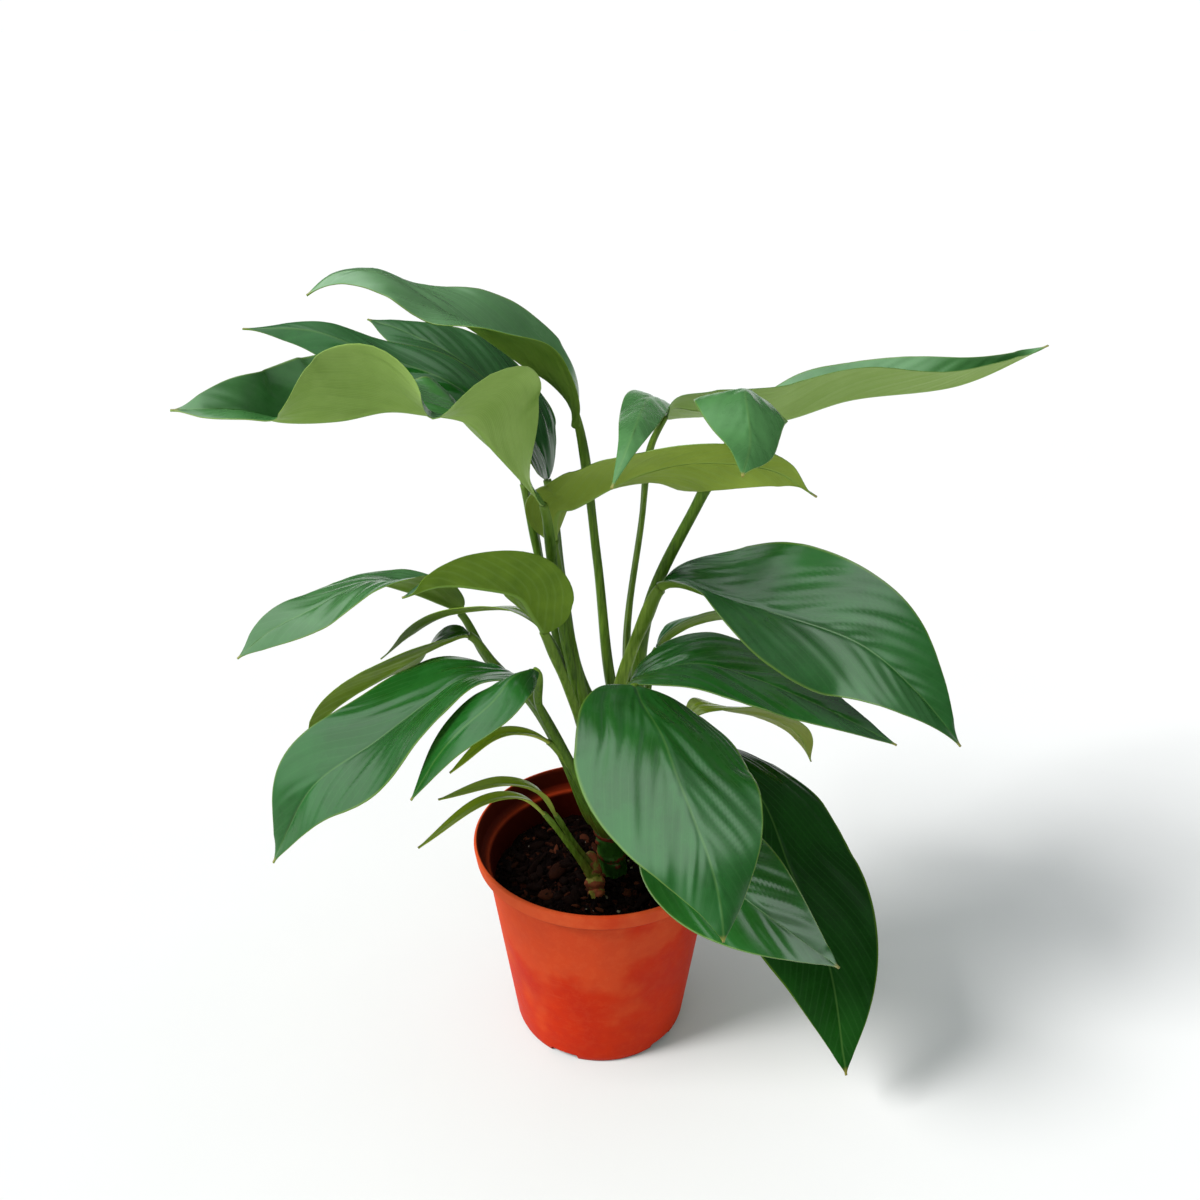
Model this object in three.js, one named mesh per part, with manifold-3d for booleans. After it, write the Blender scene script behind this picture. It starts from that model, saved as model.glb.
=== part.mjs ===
// A young potted Rhaphidophora decursiva: a tapered plastic nursery pot, its potting mix, two stems
// and a side shoot with their stalks, and the leaf blades that the stalks carry.
// Millimetres, +Z up, with the origin at the middle of the pot's underside.
// The plant is seen from -Y in its picture, so -X is the picture's left and +Y is away from the viewer.

import * as THREE from "three";
import { mergeVertices } from "three/addons/utils/BufferGeometryUtils.js";
import Module from "manifold-3d";

const wasm = await Module();
wasm.setup();

// The pot's driving sizes.
const POT = {
  height: 105,
  rimRadius: 60,
  collarHeight: 8,
  collarTaper: 1.1,
  collarSlope: 2.5,
  bodyTopRadius: 54.4,
  footRadius: 41.5,
  heel: 3,
  wall: 1.8,
  floor: 6,
  recess: 4,
  sides: 40,
};
const FOOT_SLOTS = { count: 5, width: 14, height: 3.2, firstAngle: 245 };
const DRAIN_HOLES = { count: 5, radius: 4, ringRadius: 24, firstAngle: 209 };

// The potting mix fills the pot up to this height, and keeps clear of the wall.
const SOIL = { level: 82, bump: 1.5, mound: 3, rings: 6, sides: POT.sides };

// What touches in the real plant keeps this much air here.
const SEAT_GAP = 0.3;

// Each stem is a stack of short internodes with a swollen ring at each node, above a plain peg
// that stands in a hole in the potting mix.
const STEM_SIDES = 12;
const RING_SWELL = 1.1;
const PEG_DEPTH = 16;
const STEMS = {
  front: { foot: [7, -1], top: [0, -3, 146], radius: 6.3, internode: 13 },
  back: { foot: [19, 19], top: [15, 19, 142], radius: 6.3, internode: 13 },
  shoot: { foot: [-1, -19], top: [-5, -9, 101], radius: 3.6, internode: 6 },
};

// Radii of a stalk at equal steps from its sheath at the stem to the swollen knee below the blade.
const STALK_RADII = [4.4, 3.5, 2.8, 2.5, 2.3, 2.2, 2.1, 2.5, 2.0];
const STALK_SIDES = 6;
const STALK_STEP = 15;
const CHANNEL = 0.75;

// A blade is a thin shell, thicker along its midrib. It flattens where half of it is narrower than
// foldHalf. ACROSS gives the places of its points on each half, from the midrib to the margin.
const BLADE = { edge: 0.7, ribRoot: 2.6, ribTip: 1.0, rootHalf: 1.8, tipHalf: 0.5, foldHalf: 5 };
const ACROSS = [0.36, 0.7, 1];
// The outline swells fast from a blunt base and runs out slowly to a drawn-out tip.
const BROAD = { base: 0.58, tip: 1.08 };
const STRAP = { base: 0.7, tip: 0.9 };

const COLOURS = {
  pot: 0xc8502c,
  soil: 0x1d1310,
  stem: 0x4f7a35,
  blade: 0x2f6b3c,
};

// The leaves. foot is the height on the stem's axis where the stalk starts, stalk lists the points
// it passes on its way to the knee, and rib lists the midrib's points from the knee to the tip.
// left and right are the lifts of the two halves in degrees, at equal steps from base to tip, for
// someone who looks along the leaf from its base. curl bends each half down towards its margin, and
// sweep leans its side veins towards the tip.
const LEAVES = [
  // The upper left group.
  {
    name: "leaf_top", stem: "back", foot: 132, stalk: [[5, 18, 178], [-1, 22, 237]],
    knee: [-10, 24, 303],
    rib: [[-18, 14, 319], [-31, 4, 331], [-48, -5, 346], [-65, -10, 358], [-81, -15, 369],
      [-96, -20, 370], [-107, -24, 363]],
    width: 57, left: [-40, -10, 20, 5, -20, -25, -20], right: [45, 45, 40, 30, 10, -5, -10], curl: 10,
  },
  {
    name: "leaf_long_left", stem: "front", foot: 138, stalk: [[-11, -12, 195], [-18, -20, 242]],
    knee: [-22, -28, 283],
    rib: [[-27, -32, 292], [-39, -36, 308], [-48, -42, 321], [-63, -48, 326], [-75, -54, 329],
      [-91, -62, 328], [-109, -70, 330], [-120, -78, 336], [-141, -84, 338]],
    width: 62, left: [-15, 0, 50, 65, 10, 35, 80, 70, 30, 5, -10, -20], right: [5, 0, 15, 50, 70, 60],
    curl: 8, sweep: 0.4, stations: 20,
  },
  {
    name: "leaf_dark_left", stem: "back", foot: 124, stalk: [[-9, 10, 185], [-16, 18, 224]],
    knee: [-23, 30, 272],
    rib: [[-29, 32, 291], [-43, 41, 307], [-63, 48, 322], [-85, 55, 331], [-102, 62, 335]],
    width: 60, left: [20, 15, 0, -10, -25], right: [-5, -5, 5, 10, 15], curl: 14,
  },
  {
    name: "leaf_slim_left", stem: "front", foot: 130, stalk: [[-14, 0, 189], [-23, 0, 233]],
    knee: [-31, -2, 282],
    rib: [[-37, 1, 302], [-60, 8, 321], [-91, 13, 332], [-115, 14, 341], [-143, 14, 342]],
    width: 34, left: [15, -10, -30, -45, -55, -55], right: [20, 15, 10, 10, 10], curl: 10, sweep: 0.3,
  },
  // The middle left group.
  {
    name: "leaf_mid_left", stem: "front", foot: 116,
    stalk: [[-2, 2, 111], [-18, 4, 148], [-32, 5, 175], [-49, 8, 193]],
    knee: [-62, 12, 216],
    rib: [[-72, 10, 223], [-84, 6, 230], [-99, 0, 236], [-122, -12, 229], [-138, -20, 223], [-151, -27, 214]],
    width: 46, left: [50, 45, 20, 0, -20, -40], right: [30, 10, -15, -5, 20, 40], curl: 8,
  },
  {
    name: "leaf_hook_left", stem: "front", foot: 126, stalk: [[-10, -16, 182]],
    knee: [-23, -28, 227],
    rib: [[-27, -34, 238], [-32, -42, 250], [-44, -50, 257], [-60, -56, 261], [-74, -62, 259]],
    width: 40, left: [40, 55, 70, 80, 80, 70], right: [0, -5, 5, 10, 5, 5], curl: 8,
  },
  {
    name: "leaf_sliver_left", stem: "front", foot: 120, stalk: [[-9, -8, 178]],
    knee: [-24, -14, 221],
    rib: [[-35, -12, 229], [-55, -8, 227], [-74, -2, 219], [-98, 6, 196]],
    width: 20, left: [20, 30, 30, 25], right: [-20, -20, -20, -20], curl: 0, stalkSize: 0.7,
  },
  {
    name: "leaf_under_left", stem: "front", foot: 108,
    stalk: [[-1, -5, 115], [-16, -4, 151], [-30, -5, 180], [-46, -4, 199]],
    knee: [-57, -2, 212],
    rib: [[-66, -5, 211], [-80, -11, 206], [-97, -16, 197], [-113, -22, 188], [-129, -26, 173]],
    width: 37, left: [25, 35, 45, 55, 60, 60], right: [15, -35, -35, -30, -15], curl: 8,
  },
  // The lower left group.
  {
    name: "leaf_low_left", stem: "front", foot: 104, stalk: [[0, -10, 120], [-14, -14, 157], [-25, -24, 188]],
    knee: [-35, -30, 207],
    rib: [[-39, -35, 212], [-56, -43, 213], [-69, -51, 207], [-89, -61, 195], [-114, -69, 179],
      [-132, -76, 147]],
    width: 60, left: [10, 25, 15, -10, -15, -5], right: [-15, -5, 5, 20, 45, 30], curl: 14,
  },
  {
    name: "leaf_small_left", stem: "front", foot: 112,
    stalk: [[-1, -16, 128], [-16, -25, 167], [-25, -40, 199]],
    knee: [-25, -55, 224],
    rib: [[-33, -67, 228], [-40, -75, 222], [-57, -82, 208], [-72, -88, 186]],
    width: 23, left: [-40, -10, 0, 10], right: [-60, -10, 0, 0], curl: 10, sweep: 0.1, stalkSize: 0.8,
  },
  {
    name: "leaf_strap_high", stem: "front", foot: 98, stalk: [[-12, -20, 154]],
    knee: [-22, -28, 174],
    rib: [[-32, -34, 182], [-44, -42, 185], [-62, -52, 174]],
    width: 8, left: [20, 20, 20], right: [20, 20, 20], strap: true, stalkSize: 0.8,
  },
  {
    name: "leaf_strap_middle", stem: "shoot", foot: 94, stalk: [[-14, -12, 112]],
    knee: [-20, -16, 127],
    rib: [[-28, -22, 144], [-43, -32, 155], [-68, -48, 158]],
    width: 9, left: [20, 20, 20], right: [20, 20, 20], strap: true, stalkSize: 0.7,
  },
  {
    name: "leaf_strap_low", stem: "shoot", foot: 90, stalk: [[-16, -17, 114]],
    knee: [-25, -22, 132],
    rib: [[-35, -28, 145], [-51, -42, 152], [-76, -60, 142]],
    width: 7, left: [20, 20, 20], right: [20, 20, 20], strap: true, stalkSize: 0.7,
  },
  // The upper right group.
  {
    name: "leaf_arch_right", stem: "front", foot: 134, stalk: [[-8, -12, 190], [-15, -11, 229]],
    knee: [-19, -12, 261],
    rib: [[-17, -14, 275], [-11, -18, 278], [3, -26, 289], [16, -38, 300], [35, -52, 309], [62, -58, 308],
      [79, -56, 297]],
    width: 40, left: [0, -5, -35, -60, -85, -110], right: [60, 50, 40, 35, 65, 95], curl: 6,
  },
  {
    name: "leaf_far_right", stem: "back", foot: 136, stalk: [[12, 20, 198], [18, 18, 258], [21, 12, 293]],
    knee: [27, 15, 305],
    rib: [[30, 20, 308], [40, 28, 305], [77, 46, 294], [112, 58, 300], [167, 76, 302], [210, 92, 316]],
    width: 48, left: [-50, -15, 20, 40, 80, 100], right: [40, 50, 60, 45, 50, 45], curl: 8, stalkSize: 0.7,
  },
  {
    name: "leaf_nod_left", stem: "back", foot: 126, stalk: [[13, 36, 192], [19, 42, 248], [22, 48, 277]],
    knee: [27, 52, 292],
    rib: [[28, 48, 298], [23, 34, 308], [17, -8, 316], [11, -54, 318], [4, -82, 310]],
    width: 19, left: [-25, -20, -20, -20, -10], right: [40, 10, -10, -10, -20],
    curl: 14, sweep: 0.2, stalkSize: 0.6,
  },
  {
    name: "leaf_nod_front", stem: "back", foot: 140, stalk: [[22, 12, 220], [42, 10, 270]],
    knee: [58, 6, 308],
    rib: [[54, 0, 317], [56, -14, 325], [53, -40, 330], [52, -68, 322], [47, -92, 318]],
    width: 40, left: [-25, -35, -35, -35, -25], right: [-20, -20, -10, 0, 25], curl: 14, stalkSize: 1.15,
  },
  // The middle right group.
  {
    name: "leaf_broad_right", stem: "front", foot: 128, stalk: [[8, 2, 182], [18, 2, 215]],
    knee: [26, 2, 233],
    rib: [[33, 0, 236], [51, -8, 233], [71, -18, 231], [107, -32, 223], [130, -44, 206], [147, -52, 187]],
    width: 66, left: [10, 30, 50, 60, 50, 25], right: [25, 25, -10, -35, -20, 5], curl: 14, stalkSize: 1.5,
  },
  {
    name: "leaf_under_right", stem: "front", foot: 118, stalk: [[6, -8, 158]],
    knee: [13, -14, 194],
    rib: [[20, -18, 202], [42, -26, 211], [62, -32, 208], [88, -40, 200], [122, -48, 185]],
    width: 46, left: [15, 10, 5, 10, 10], right: [10, 5, 0, 0, 0], curl: 10,
  },
  {
    name: "leaf_back_right", stem: "back", foot: 118, stalk: [[20, 24, 147]],
    knee: [27, 30, 188],
    rib: [[38, 36, 195], [56, 50, 194], [77, 66, 185], [113, 82, 171]],
    width: 42, left: [-25, -20, -25, -20], right: [55, 35, 30, 30], curl: 8,
  },
  {
    name: "leaf_side_right", stem: "back", foot: 106, stalk: [[24, 20, 127]],
    knee: [41, 22, 156],
    rib: [[47, 24, 161], [65, 30, 155], [84, 36, 147], [99, 42, 134], [107, 46, 115]],
    width: 28, left: [0, -30, -30, -30], right: [0, 35, 35, 35], curl: 4, stalkSize: 0.8,
  },
  // The front group.
  {
    name: "leaf_front", stem: "front", foot: 110, stalk: [[6, -18, 150]],
    knee: [14, -38, 207],
    rib: [[17, -50, 206], [24, -67, 202], [29, -84, 195], [35, -99, 185], [40, -111, 176],
      [44, -120, 162], [45, -127, 151]],
    width: 74, left: [-20, -25, -20, -5, 0, -10], right: [15, 0, -10, -15, -15, -10], curl: 14,
  },
  {
    name: "leaf_low_front", stem: "front", foot: 100, stalk: [[9, -11, 122]],
    knee: [18, -21, 143],
    rib: [[34, -31, 134], [44, -49, 125], [62, -67, 120], [81, -84, 115], [96, -97, 111]],
    width: 53, left: [25, 30, 40, 55, 65], right: [10, -10, -25, -25, -20], curl: 14, sweep: 0.2,
  },
  {
    name: "leaf_low_right", stem: "back", foot: 100, stalk: [[27, 14, 125]],
    knee: [42, 25, 138],
    rib: [[49, 25, 139], [62, 12, 138], [76, -8, 127], [86, -30, 107], [102, -53, 74], [110, -76, 29]],
    width: 71, left: [-30, -15, 10, 35, 65], right: [40, 10, -10, -25, -50], curl: 14, sweep: 0.2,
  },
];

function vector(p) {
  return new THREE.Vector3(...p);
}

// A smooth value at share t of the way along a list of equally spaced values.
function along(values, t) {
  const last = values.length - 1;
  const k = Math.min(Math.floor(t * last), last - 1);
  const at = (i) => values[Math.max(0, Math.min(last, i))];
  const u = t * last - k;
  const slopeIn = (at(k + 1) - at(k - 1)) / 2;
  const slopeOut = (at(k + 2) - at(k)) / 2;
  const rise = at(k + 1) - at(k);
  const bend = slopeIn + slopeOut - 2 * rise;
  return at(k) + u * (slopeIn + u * (rise - slopeIn - bend + u * bend));
}

// A repeatable value from -1 to 1 for a pair of whole numbers.
function scatter(i, j) {
  const s = Math.sin(i * 127.1 + j * 311.7) * 43758.5453;
  return 2 * (s - Math.floor(s)) - 1;
}

// A closed body through rings of equally many points, with flat ends. flips(j) says which diagonal
// splits the face after point j, so that both sides of a thin shell can be split alike.
function loft(rings, flips = () => false) {
  const n = rings[0].length;
  const positions = [];
  rings.forEach((ring) => ring.forEach((p) => positions.push(p.x, p.y, p.z)));
  const index = [];
  for (let i = 0; i < rings.length - 1; i++) {
    for (let j = 0; j < n; j++) {
      const k = (j + 1) % n;
      const a = i * n + j;
      const b = i * n + k;
      const c = (i + 1) * n + k;
      const d = (i + 1) * n + j;
      if (flips(j)) index.push(a, b, d, b, c, d);
      else index.push(a, b, c, a, c, d);
    }
  }
  const end = (rings.length - 1) * n;
  for (let j = 0; j < n / 2 - 1; j++) {
    const [a, b, c, d] = [j, j + 1, n - 2 - j, n - 1 - j];
    index.push(a, c, b);
    index.push(end + a, end + b, end + c);
    if (c !== d) {
      index.push(a, d, c);
      index.push(end + a, end + c, end + d);
    }
  }
  const geometry = new THREE.BufferGeometry();
  geometry.setAttribute("position", new THREE.Float32BufferAttribute(positions, 3));
  geometry.setIndex(index);
  return geometry;
}

function solidOf(geometry) {
  const plain = new THREE.BufferGeometry();
  const flat = geometry.index ? geometry.toNonIndexed() : geometry;
  plain.setAttribute("position", flat.getAttribute("position"));
  const merged = mergeVertices(plain, 1e-4);
  return new wasm.Manifold(
    new wasm.Mesh({
      numProp: 3,
      vertProperties: merged.attributes.position.array,
      triVerts: new Uint32Array(merged.index.array),
    }),
  );
}

function geometryOf(solid) {
  const mesh = solid.getMesh();
  const geometry = new THREE.BufferGeometry();
  geometry.setAttribute("position", new THREE.Float32BufferAttribute(mesh.vertProperties, 3));
  geometry.setIndex(new THREE.Uint32BufferAttribute(mesh.triVerts, 1));
  return geometry;
}

function joined(solids) {
  return solids.reduce((sum, one) => sum.add(one));
}

// A plain cylinder on the axis from one point to another.
function rod(from, to, radius, sides) {
  const geometry = new THREE.CylinderGeometry(radius, radius, from.distanceTo(to), sides);
  const turn = new THREE.Quaternion();
  turn.setFromUnitVectors(new THREE.Vector3(0, 1, 0), to.clone().sub(from).normalize());
  geometry.applyQuaternion(turn);
  const middle = from.clone().add(to).multiplyScalar(0.5);
  geometry.translate(middle.x, middle.y, middle.z);
  return solidOf(geometry);
}

// Radius of the pot's outer face at a height.
function bodyRadius(z) {
  const top = POT.height - POT.collarHeight - POT.collarSlope;
  return POT.footRadius + ((POT.bodyTopRadius - POT.footRadius) * z) / top;
}

function potSolid() {
  const lower = POT.height - POT.collarHeight;
  const under = lower - POT.collarSlope;
  const collarFoot = POT.rimRadius - POT.collarTaper;
  const skirt = POT.footRadius - POT.wall - 1;
  const profile = [
    [0, POT.recess],
    [skirt, POT.recess],
    [skirt - 0.4, 0],
    [POT.footRadius - 0.8, 0],
    [bodyRadius(POT.heel), POT.heel],
    [bodyRadius(under), under],
    [collarFoot, lower],
    [POT.rimRadius, POT.height - 0.8],
    [POT.rimRadius - 0.8, POT.height],
    [POT.rimRadius - POT.wall + 0.4, POT.height],
    [POT.rimRadius - POT.wall - 0.3, POT.height - 1],
    [collarFoot - POT.wall, lower - 1],
    [bodyRadius(under) - POT.wall, under - 1.5],
    [bodyRadius(POT.floor) - POT.wall, POT.floor + 1.5],
    [bodyRadius(POT.floor) - POT.wall - 1.5, POT.floor],
    [0, POT.floor],
  ];
  const lathe = new THREE.LatheGeometry(profile.map((p) => new THREE.Vector2(...p)), POT.sides);
  lathe.rotateX(Math.PI / 2);
  const cutters = [];
  for (let i = 0; i < FOOT_SLOTS.count; i++) {
    const angle = ((FOOT_SLOTS.firstAngle + (360 * i) / FOOT_SLOTS.count) * Math.PI) / 180;
    const slot = new THREE.BoxGeometry(8, FOOT_SLOTS.width, 2 * FOOT_SLOTS.height);
    slot.translate(POT.footRadius, 0, 0);
    slot.rotateZ(angle);
    cutters.push(solidOf(slot));
  }
  for (let i = 0; i < DRAIN_HOLES.count; i++) {
    const angle = ((DRAIN_HOLES.firstAngle + (360 * i) / DRAIN_HOLES.count) * Math.PI) / 180;
    const x = DRAIN_HOLES.ringRadius * Math.cos(angle);
    const y = DRAIN_HOLES.ringRadius * Math.sin(angle);
    cutters.push(rod(vector([x, y, 0]), vector([x, y, POT.floor + 3]), DRAIN_HOLES.radius, 12));
  }
  return solidOf(lathe).subtract(joined(cutters));
}

function stemFoot(stem) {
  return vector([...stem.foot, SOIL.level]);
}

function stemAxis(stem) {
  return vector(stem.top).sub(stemFoot(stem)).normalize();
}

// The point on a stem's axis at a height.
function onStem(stem, z) {
  const axis = stemAxis(stem);
  return stemFoot(stem).addScaledVector(axis, (z - SOIL.level) / axis.z);
}

// The end of the peg below the soil, made deeper by extra for its hole.
function pegEnd(stem, extra) {
  return stemFoot(stem).addScaledVector(stemAxis(stem), -PEG_DEPTH - extra);
}

function soilSolid() {
  const outer = bodyRadius(SOIL.level) - POT.wall - SEAT_GAP;
  const bottom = POT.floor + SEAT_GAP + 0.2;
  const inner = bodyRadius(bottom) - POT.wall - SEAT_GAP - 1.6;
  const positions = [];
  const index = [];
  const put = (x, y, z) => positions.push(x, y, z) / 3 - 1;
  const height = (share, i, j) =>
    SOIL.level + SOIL.mound * (0.35 - share * share) + SOIL.bump * scatter(i, j) * (share < 1 ? 1 : 0.4);
  const centre = put(0, 0, height(0, 0, 0));
  const rings = [];
  for (let i = 1; i <= SOIL.rings; i++) {
    const share = i / SOIL.rings;
    const ring = [];
    for (let j = 0; j < SOIL.sides; j++) {
      const angle = (2 * Math.PI * (j + (i % 2) / 2)) / SOIL.sides;
      ring.push(put(outer * share * Math.cos(angle), outer * share * Math.sin(angle), height(share, i, j)));
    }
    rings.push(ring);
  }
  const base = [];
  for (let j = 0; j < SOIL.sides; j++) {
    const angle = (2 * Math.PI * (j + (SOIL.rings % 2) / 2)) / SOIL.sides;
    base.push(put(inner * Math.cos(angle), inner * Math.sin(angle), bottom));
  }
  rings.push(base);
  const foot = put(0, 0, bottom);
  for (let j = 0; j < SOIL.sides; j++) {
    const k = (j + 1) % SOIL.sides;
    index.push(centre, rings[0][j], rings[0][k]);
    for (let i = 0; i < rings.length - 1; i++) {
      const [a, b, c, d] = [rings[i][j], rings[i][k], rings[i + 1][k], rings[i + 1][j]];
      if (i % 2 === 0 || i === rings.length - 2) index.push(a, d, b, b, d, c);
      else index.push(a, c, b, a, d, c);
    }
    index.push(foot, base[k], base[j]);
  }
  const geometry = new THREE.BufferGeometry();
  geometry.setAttribute("position", new THREE.Float32BufferAttribute(positions, 3));
  geometry.setIndex(index);
  const holes = Object.values(STEMS).map((stem) =>
    rod(pegEnd(stem, SEAT_GAP), onStem(stem, SOIL.level + 12), stem.radius + SEAT_GAP, STEM_SIDES));
  return solidOf(geometry).subtract(joined(holes));
}

// The middle of a stem: a peg, then internodes that swell into a ring at each node, then a blunt top.
function stemSolid(stem) {
  const from = pegEnd(stem, 0);
  const axis = stemAxis(stem);
  const length = vector(stem.top).distanceTo(from);
  const rings = [[0, stem.radius * 0.8], [2, stem.radius], [PEG_DEPTH + 4, stem.radius]];
  for (let s = PEG_DEPTH + stem.internode; s < length - 5; s += stem.internode) {
    rings.push([s - 2.2, stem.radius], [s, stem.radius + RING_SWELL], [s + 1.6, stem.radius]);
  }
  rings.push([length - 3, stem.radius * 0.85], [length, stem.radius * 0.4]);
  const side = new THREE.Vector3(1, 0, 0).cross(axis).normalize();
  const front = axis.clone().cross(side);
  return solidOf(loft(rings.map(([s, radius]) => {
    const centre = from.clone().addScaledVector(axis, s);
    return Array.from({ length: STEM_SIDES }, (_, j) => {
      const angle = (2 * Math.PI * j) / STEM_SIDES;
      return centre.clone()
        .addScaledVector(side, radius * Math.cos(angle))
        .addScaledVector(front, radius * Math.sin(angle));
    });
  })));
}

// The leaf's middle line, from the stem's axis through the knee to the tip, and what is known of it.
function spineOf(leaf) {
  const points = [onStem(STEMS[leaf.stem], leaf.foot), ...leaf.stalk.map(vector), vector(leaf.knee)];
  const knee = points.length - 1;
  points.push(...leaf.rib.map(vector));
  const curve = new THREE.CatmullRomCurve3(points, false, "centripetal");
  curve.arcLengthDivisions = 400;
  const lengths = curve.getLengths();
  const total = curve.getLength();
  const toKnee = lengths[Math.round((400 * knee) / (points.length - 1))];
  const heading = vector(leaf.rib.at(-1)).sub(vector(leaf.knee)).setZ(0).normalize();
  const level = new THREE.Vector3(-heading.y, heading.x, 0);
  const frame = (s) => {
    const share = Math.min(s / total, 1);
    const centre = curve.getPointAt(share);
    const ahead = curve.getTangentAt(share);
    const side = level.clone().addScaledVector(ahead, -level.dot(ahead)).normalize();
    const up = ahead.clone().cross(side);
    return { centre, ahead, side, up };
  };
  return { total, toKnee, frame };
}

// A stalk: round below, flattened above, and thickest at its sheath.
function stalkSolid(leaf) {
  const { toKnee, frame } = spineOf(leaf);
  const count = Math.max(5, Math.ceil(toKnee / STALK_STEP));
  const size = leaf.stalkSize ?? 1;
  const rings = [];
  for (let i = 0; i <= count; i++) {
    const { centre, side, up } = frame((toKnee * i) / count);
    const radius = size * along(STALK_RADII, i / count);
    rings.push(Array.from({ length: STALK_SIDES }, (_, j) => {
      const angle = (2 * Math.PI * j) / STALK_SIDES;
      const rise = Math.sin(angle) * (Math.sin(angle) > 0 ? CHANNEL : 1);
      return centre.clone()
        .addScaledVector(side, radius * Math.cos(angle))
        .addScaledVector(up, radius * rise);
    }));
  }
  return solidOf(loft(rings));
}

// Half the blade's width at share t of its length.
function halfWidth(leaf, t) {
  const { base, tip } = leaf.strap ? STRAP : BROAD;
  const widest = base / (base + tip);
  const shape = (t / widest) ** base * ((1 - t) / (1 - widest)) ** tip;
  const least = BLADE.rootHalf * (leaf.stalkSize ?? 1) * (1 - t) + BLADE.tipHalf * t;
  return Math.max((leaf.width / 2) * shape, least);
}

// A blade from just past the knee to the tip. Each half leaves the midrib at its lift and bends on
// a circular arc, so its width stays true however it is folded.
function bladeSolid(leaf) {
  const { total, toKnee, frame } = spineOf(leaf);
  const start = toKnee + SEAT_GAP;
  const count = leaf.stations ?? (leaf.strap ? 8 : 13);
  const across = leaf.strap ? [0.55, 1] : ACROSS;
  const rings = [];
  for (let i = 0; i <= count; i++) {
    const t = 0.5 - 0.5 * Math.cos((Math.PI * i) / count);
    const share = 0.55 * t + (0.45 * i) / count;
    const { centre, ahead, side, up } = frame(start + (total - start) * share);
    const half = halfWidth(leaf, share);
    const rib = (BLADE.ribRoot * (1 - share) + BLADE.ribTip * share) * (leaf.stalkSize ?? 1);
    const fold = Math.min(half / BLADE.foldHalf, 1);
    const row = (sign, lifts) => across.map((v) => {
      const curl = ((leaf.curl ?? 0) * Math.PI) / 180;
      const lift = (fold * along(lifts, share) * Math.PI) / 180 + curl / 2;
      const angle = lift - curl * v;
      const [out, rise] = curl === 0
        ? [v * Math.cos(lift), v * Math.sin(lift)]
        : [(Math.sin(lift) - Math.sin(angle)) / curl, (Math.cos(angle) - Math.cos(lift)) / curl];
      const middle = centre.clone()
        .addScaledVector(side, sign * half * out)
        .addScaledVector(up, half * rise)
        .addScaledVector(ahead, half * v * (leaf.sweep ?? 0));
      const normal = up.clone().multiplyScalar(Math.cos(angle))
        .addScaledVector(side, -sign * Math.sin(angle));
      return { middle, normal };
    });
    const left = row(1, leaf.left);
    const right = row(-1, leaf.right);
    const line = [...left.reverse(), { middle: centre, normal: up, rib }, ...right];
    const skin = (sign) => line.map(({ middle, normal, rib: thick = BLADE.edge }) =>
      middle.clone().addScaledVector(normal, (sign * thick) / 2));
    rings.push([...skin(1), ...skin(-1).reverse()]);
  }
  const n = rings[0].length;
  const halfRing = n / 2;
  const middle = (halfRing - 1) / 2;
  const flips = (j) => (j < halfRing ? j >= middle && j < halfRing - 1 : n - 2 - j < middle);
  return solidOf(loft(rings, flips));
}

function meshOf(name, solid, colour, roughness) {
  const material = new THREE.MeshStandardMaterial({ color: colour, roughness, metalness: 0 });
  const mesh = new THREE.Mesh(geometryOf(solid), material);
  mesh.name = name;
  return mesh;
}

const root = new THREE.Group();
root.name = "potted_rhaphidophora";
root.add(meshOf("pot", potSolid(), COLOURS.pot, 0.55));
root.add(meshOf("soil", soilSolid(), COLOURS.soil, 0.95));
for (const [name, stem] of Object.entries(STEMS)) {
  const stalks = LEAVES.filter((leaf) => leaf.stem === name).map(stalkSolid);
  root.add(meshOf("stem_" + name, joined([stemSolid(stem), ...stalks]), COLOURS.stem, 0.6));
}
for (const leaf of LEAVES) {
  root.add(meshOf(leaf.name, bladeSolid(leaf), COLOURS.blade, 0.4));
}

export default root;
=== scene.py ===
# %% [markdown]
# # A young Rhaphidophora decursiva in a nursery pot
# This lesson dresses a measured model of a house plant. The measured solids say where each leaf,
# stalk and stem is. Here each of them gets a finer surface, worked out from the same named sizes,
# and a finish made of nodes. The plant and its pot are written in millimetres and turned into
# metres where a surface becomes a mesh. The camera and the finishes use metres, as Blender does.

# %% Load the frame
from types import SimpleNamespace
import bpy
import numpy as np
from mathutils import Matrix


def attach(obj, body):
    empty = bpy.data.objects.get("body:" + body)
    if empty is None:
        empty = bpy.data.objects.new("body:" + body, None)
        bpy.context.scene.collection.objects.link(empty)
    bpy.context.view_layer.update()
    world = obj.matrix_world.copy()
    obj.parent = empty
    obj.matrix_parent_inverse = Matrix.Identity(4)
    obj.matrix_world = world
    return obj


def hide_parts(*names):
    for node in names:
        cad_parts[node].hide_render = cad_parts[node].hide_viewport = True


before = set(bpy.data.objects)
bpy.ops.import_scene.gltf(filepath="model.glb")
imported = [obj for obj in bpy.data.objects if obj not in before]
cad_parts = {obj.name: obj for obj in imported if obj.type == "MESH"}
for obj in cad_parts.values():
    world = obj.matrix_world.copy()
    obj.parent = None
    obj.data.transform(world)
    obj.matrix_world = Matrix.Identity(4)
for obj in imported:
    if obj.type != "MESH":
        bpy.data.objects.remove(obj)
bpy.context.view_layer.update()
MM = 0.001


# %% [markdown]
# ## The camera
# The photograph was taken from about 60 cm away, a little above the top leaves and looking down by
# 26 degrees. A camera could be placed by eye, but the pot's round rim says more: its ellipse fixes
# the pitch and its width fixes the distance. A 36 mm lens on a 36 mm sensor sees 53 degrees across
# the square picture.

# %% Camera
CAMERA_PLACE = (0.0, -0.466, 0.4536)
CAMERA_PITCH = 25.83
LENS = SENSOR = 36.0


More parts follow.
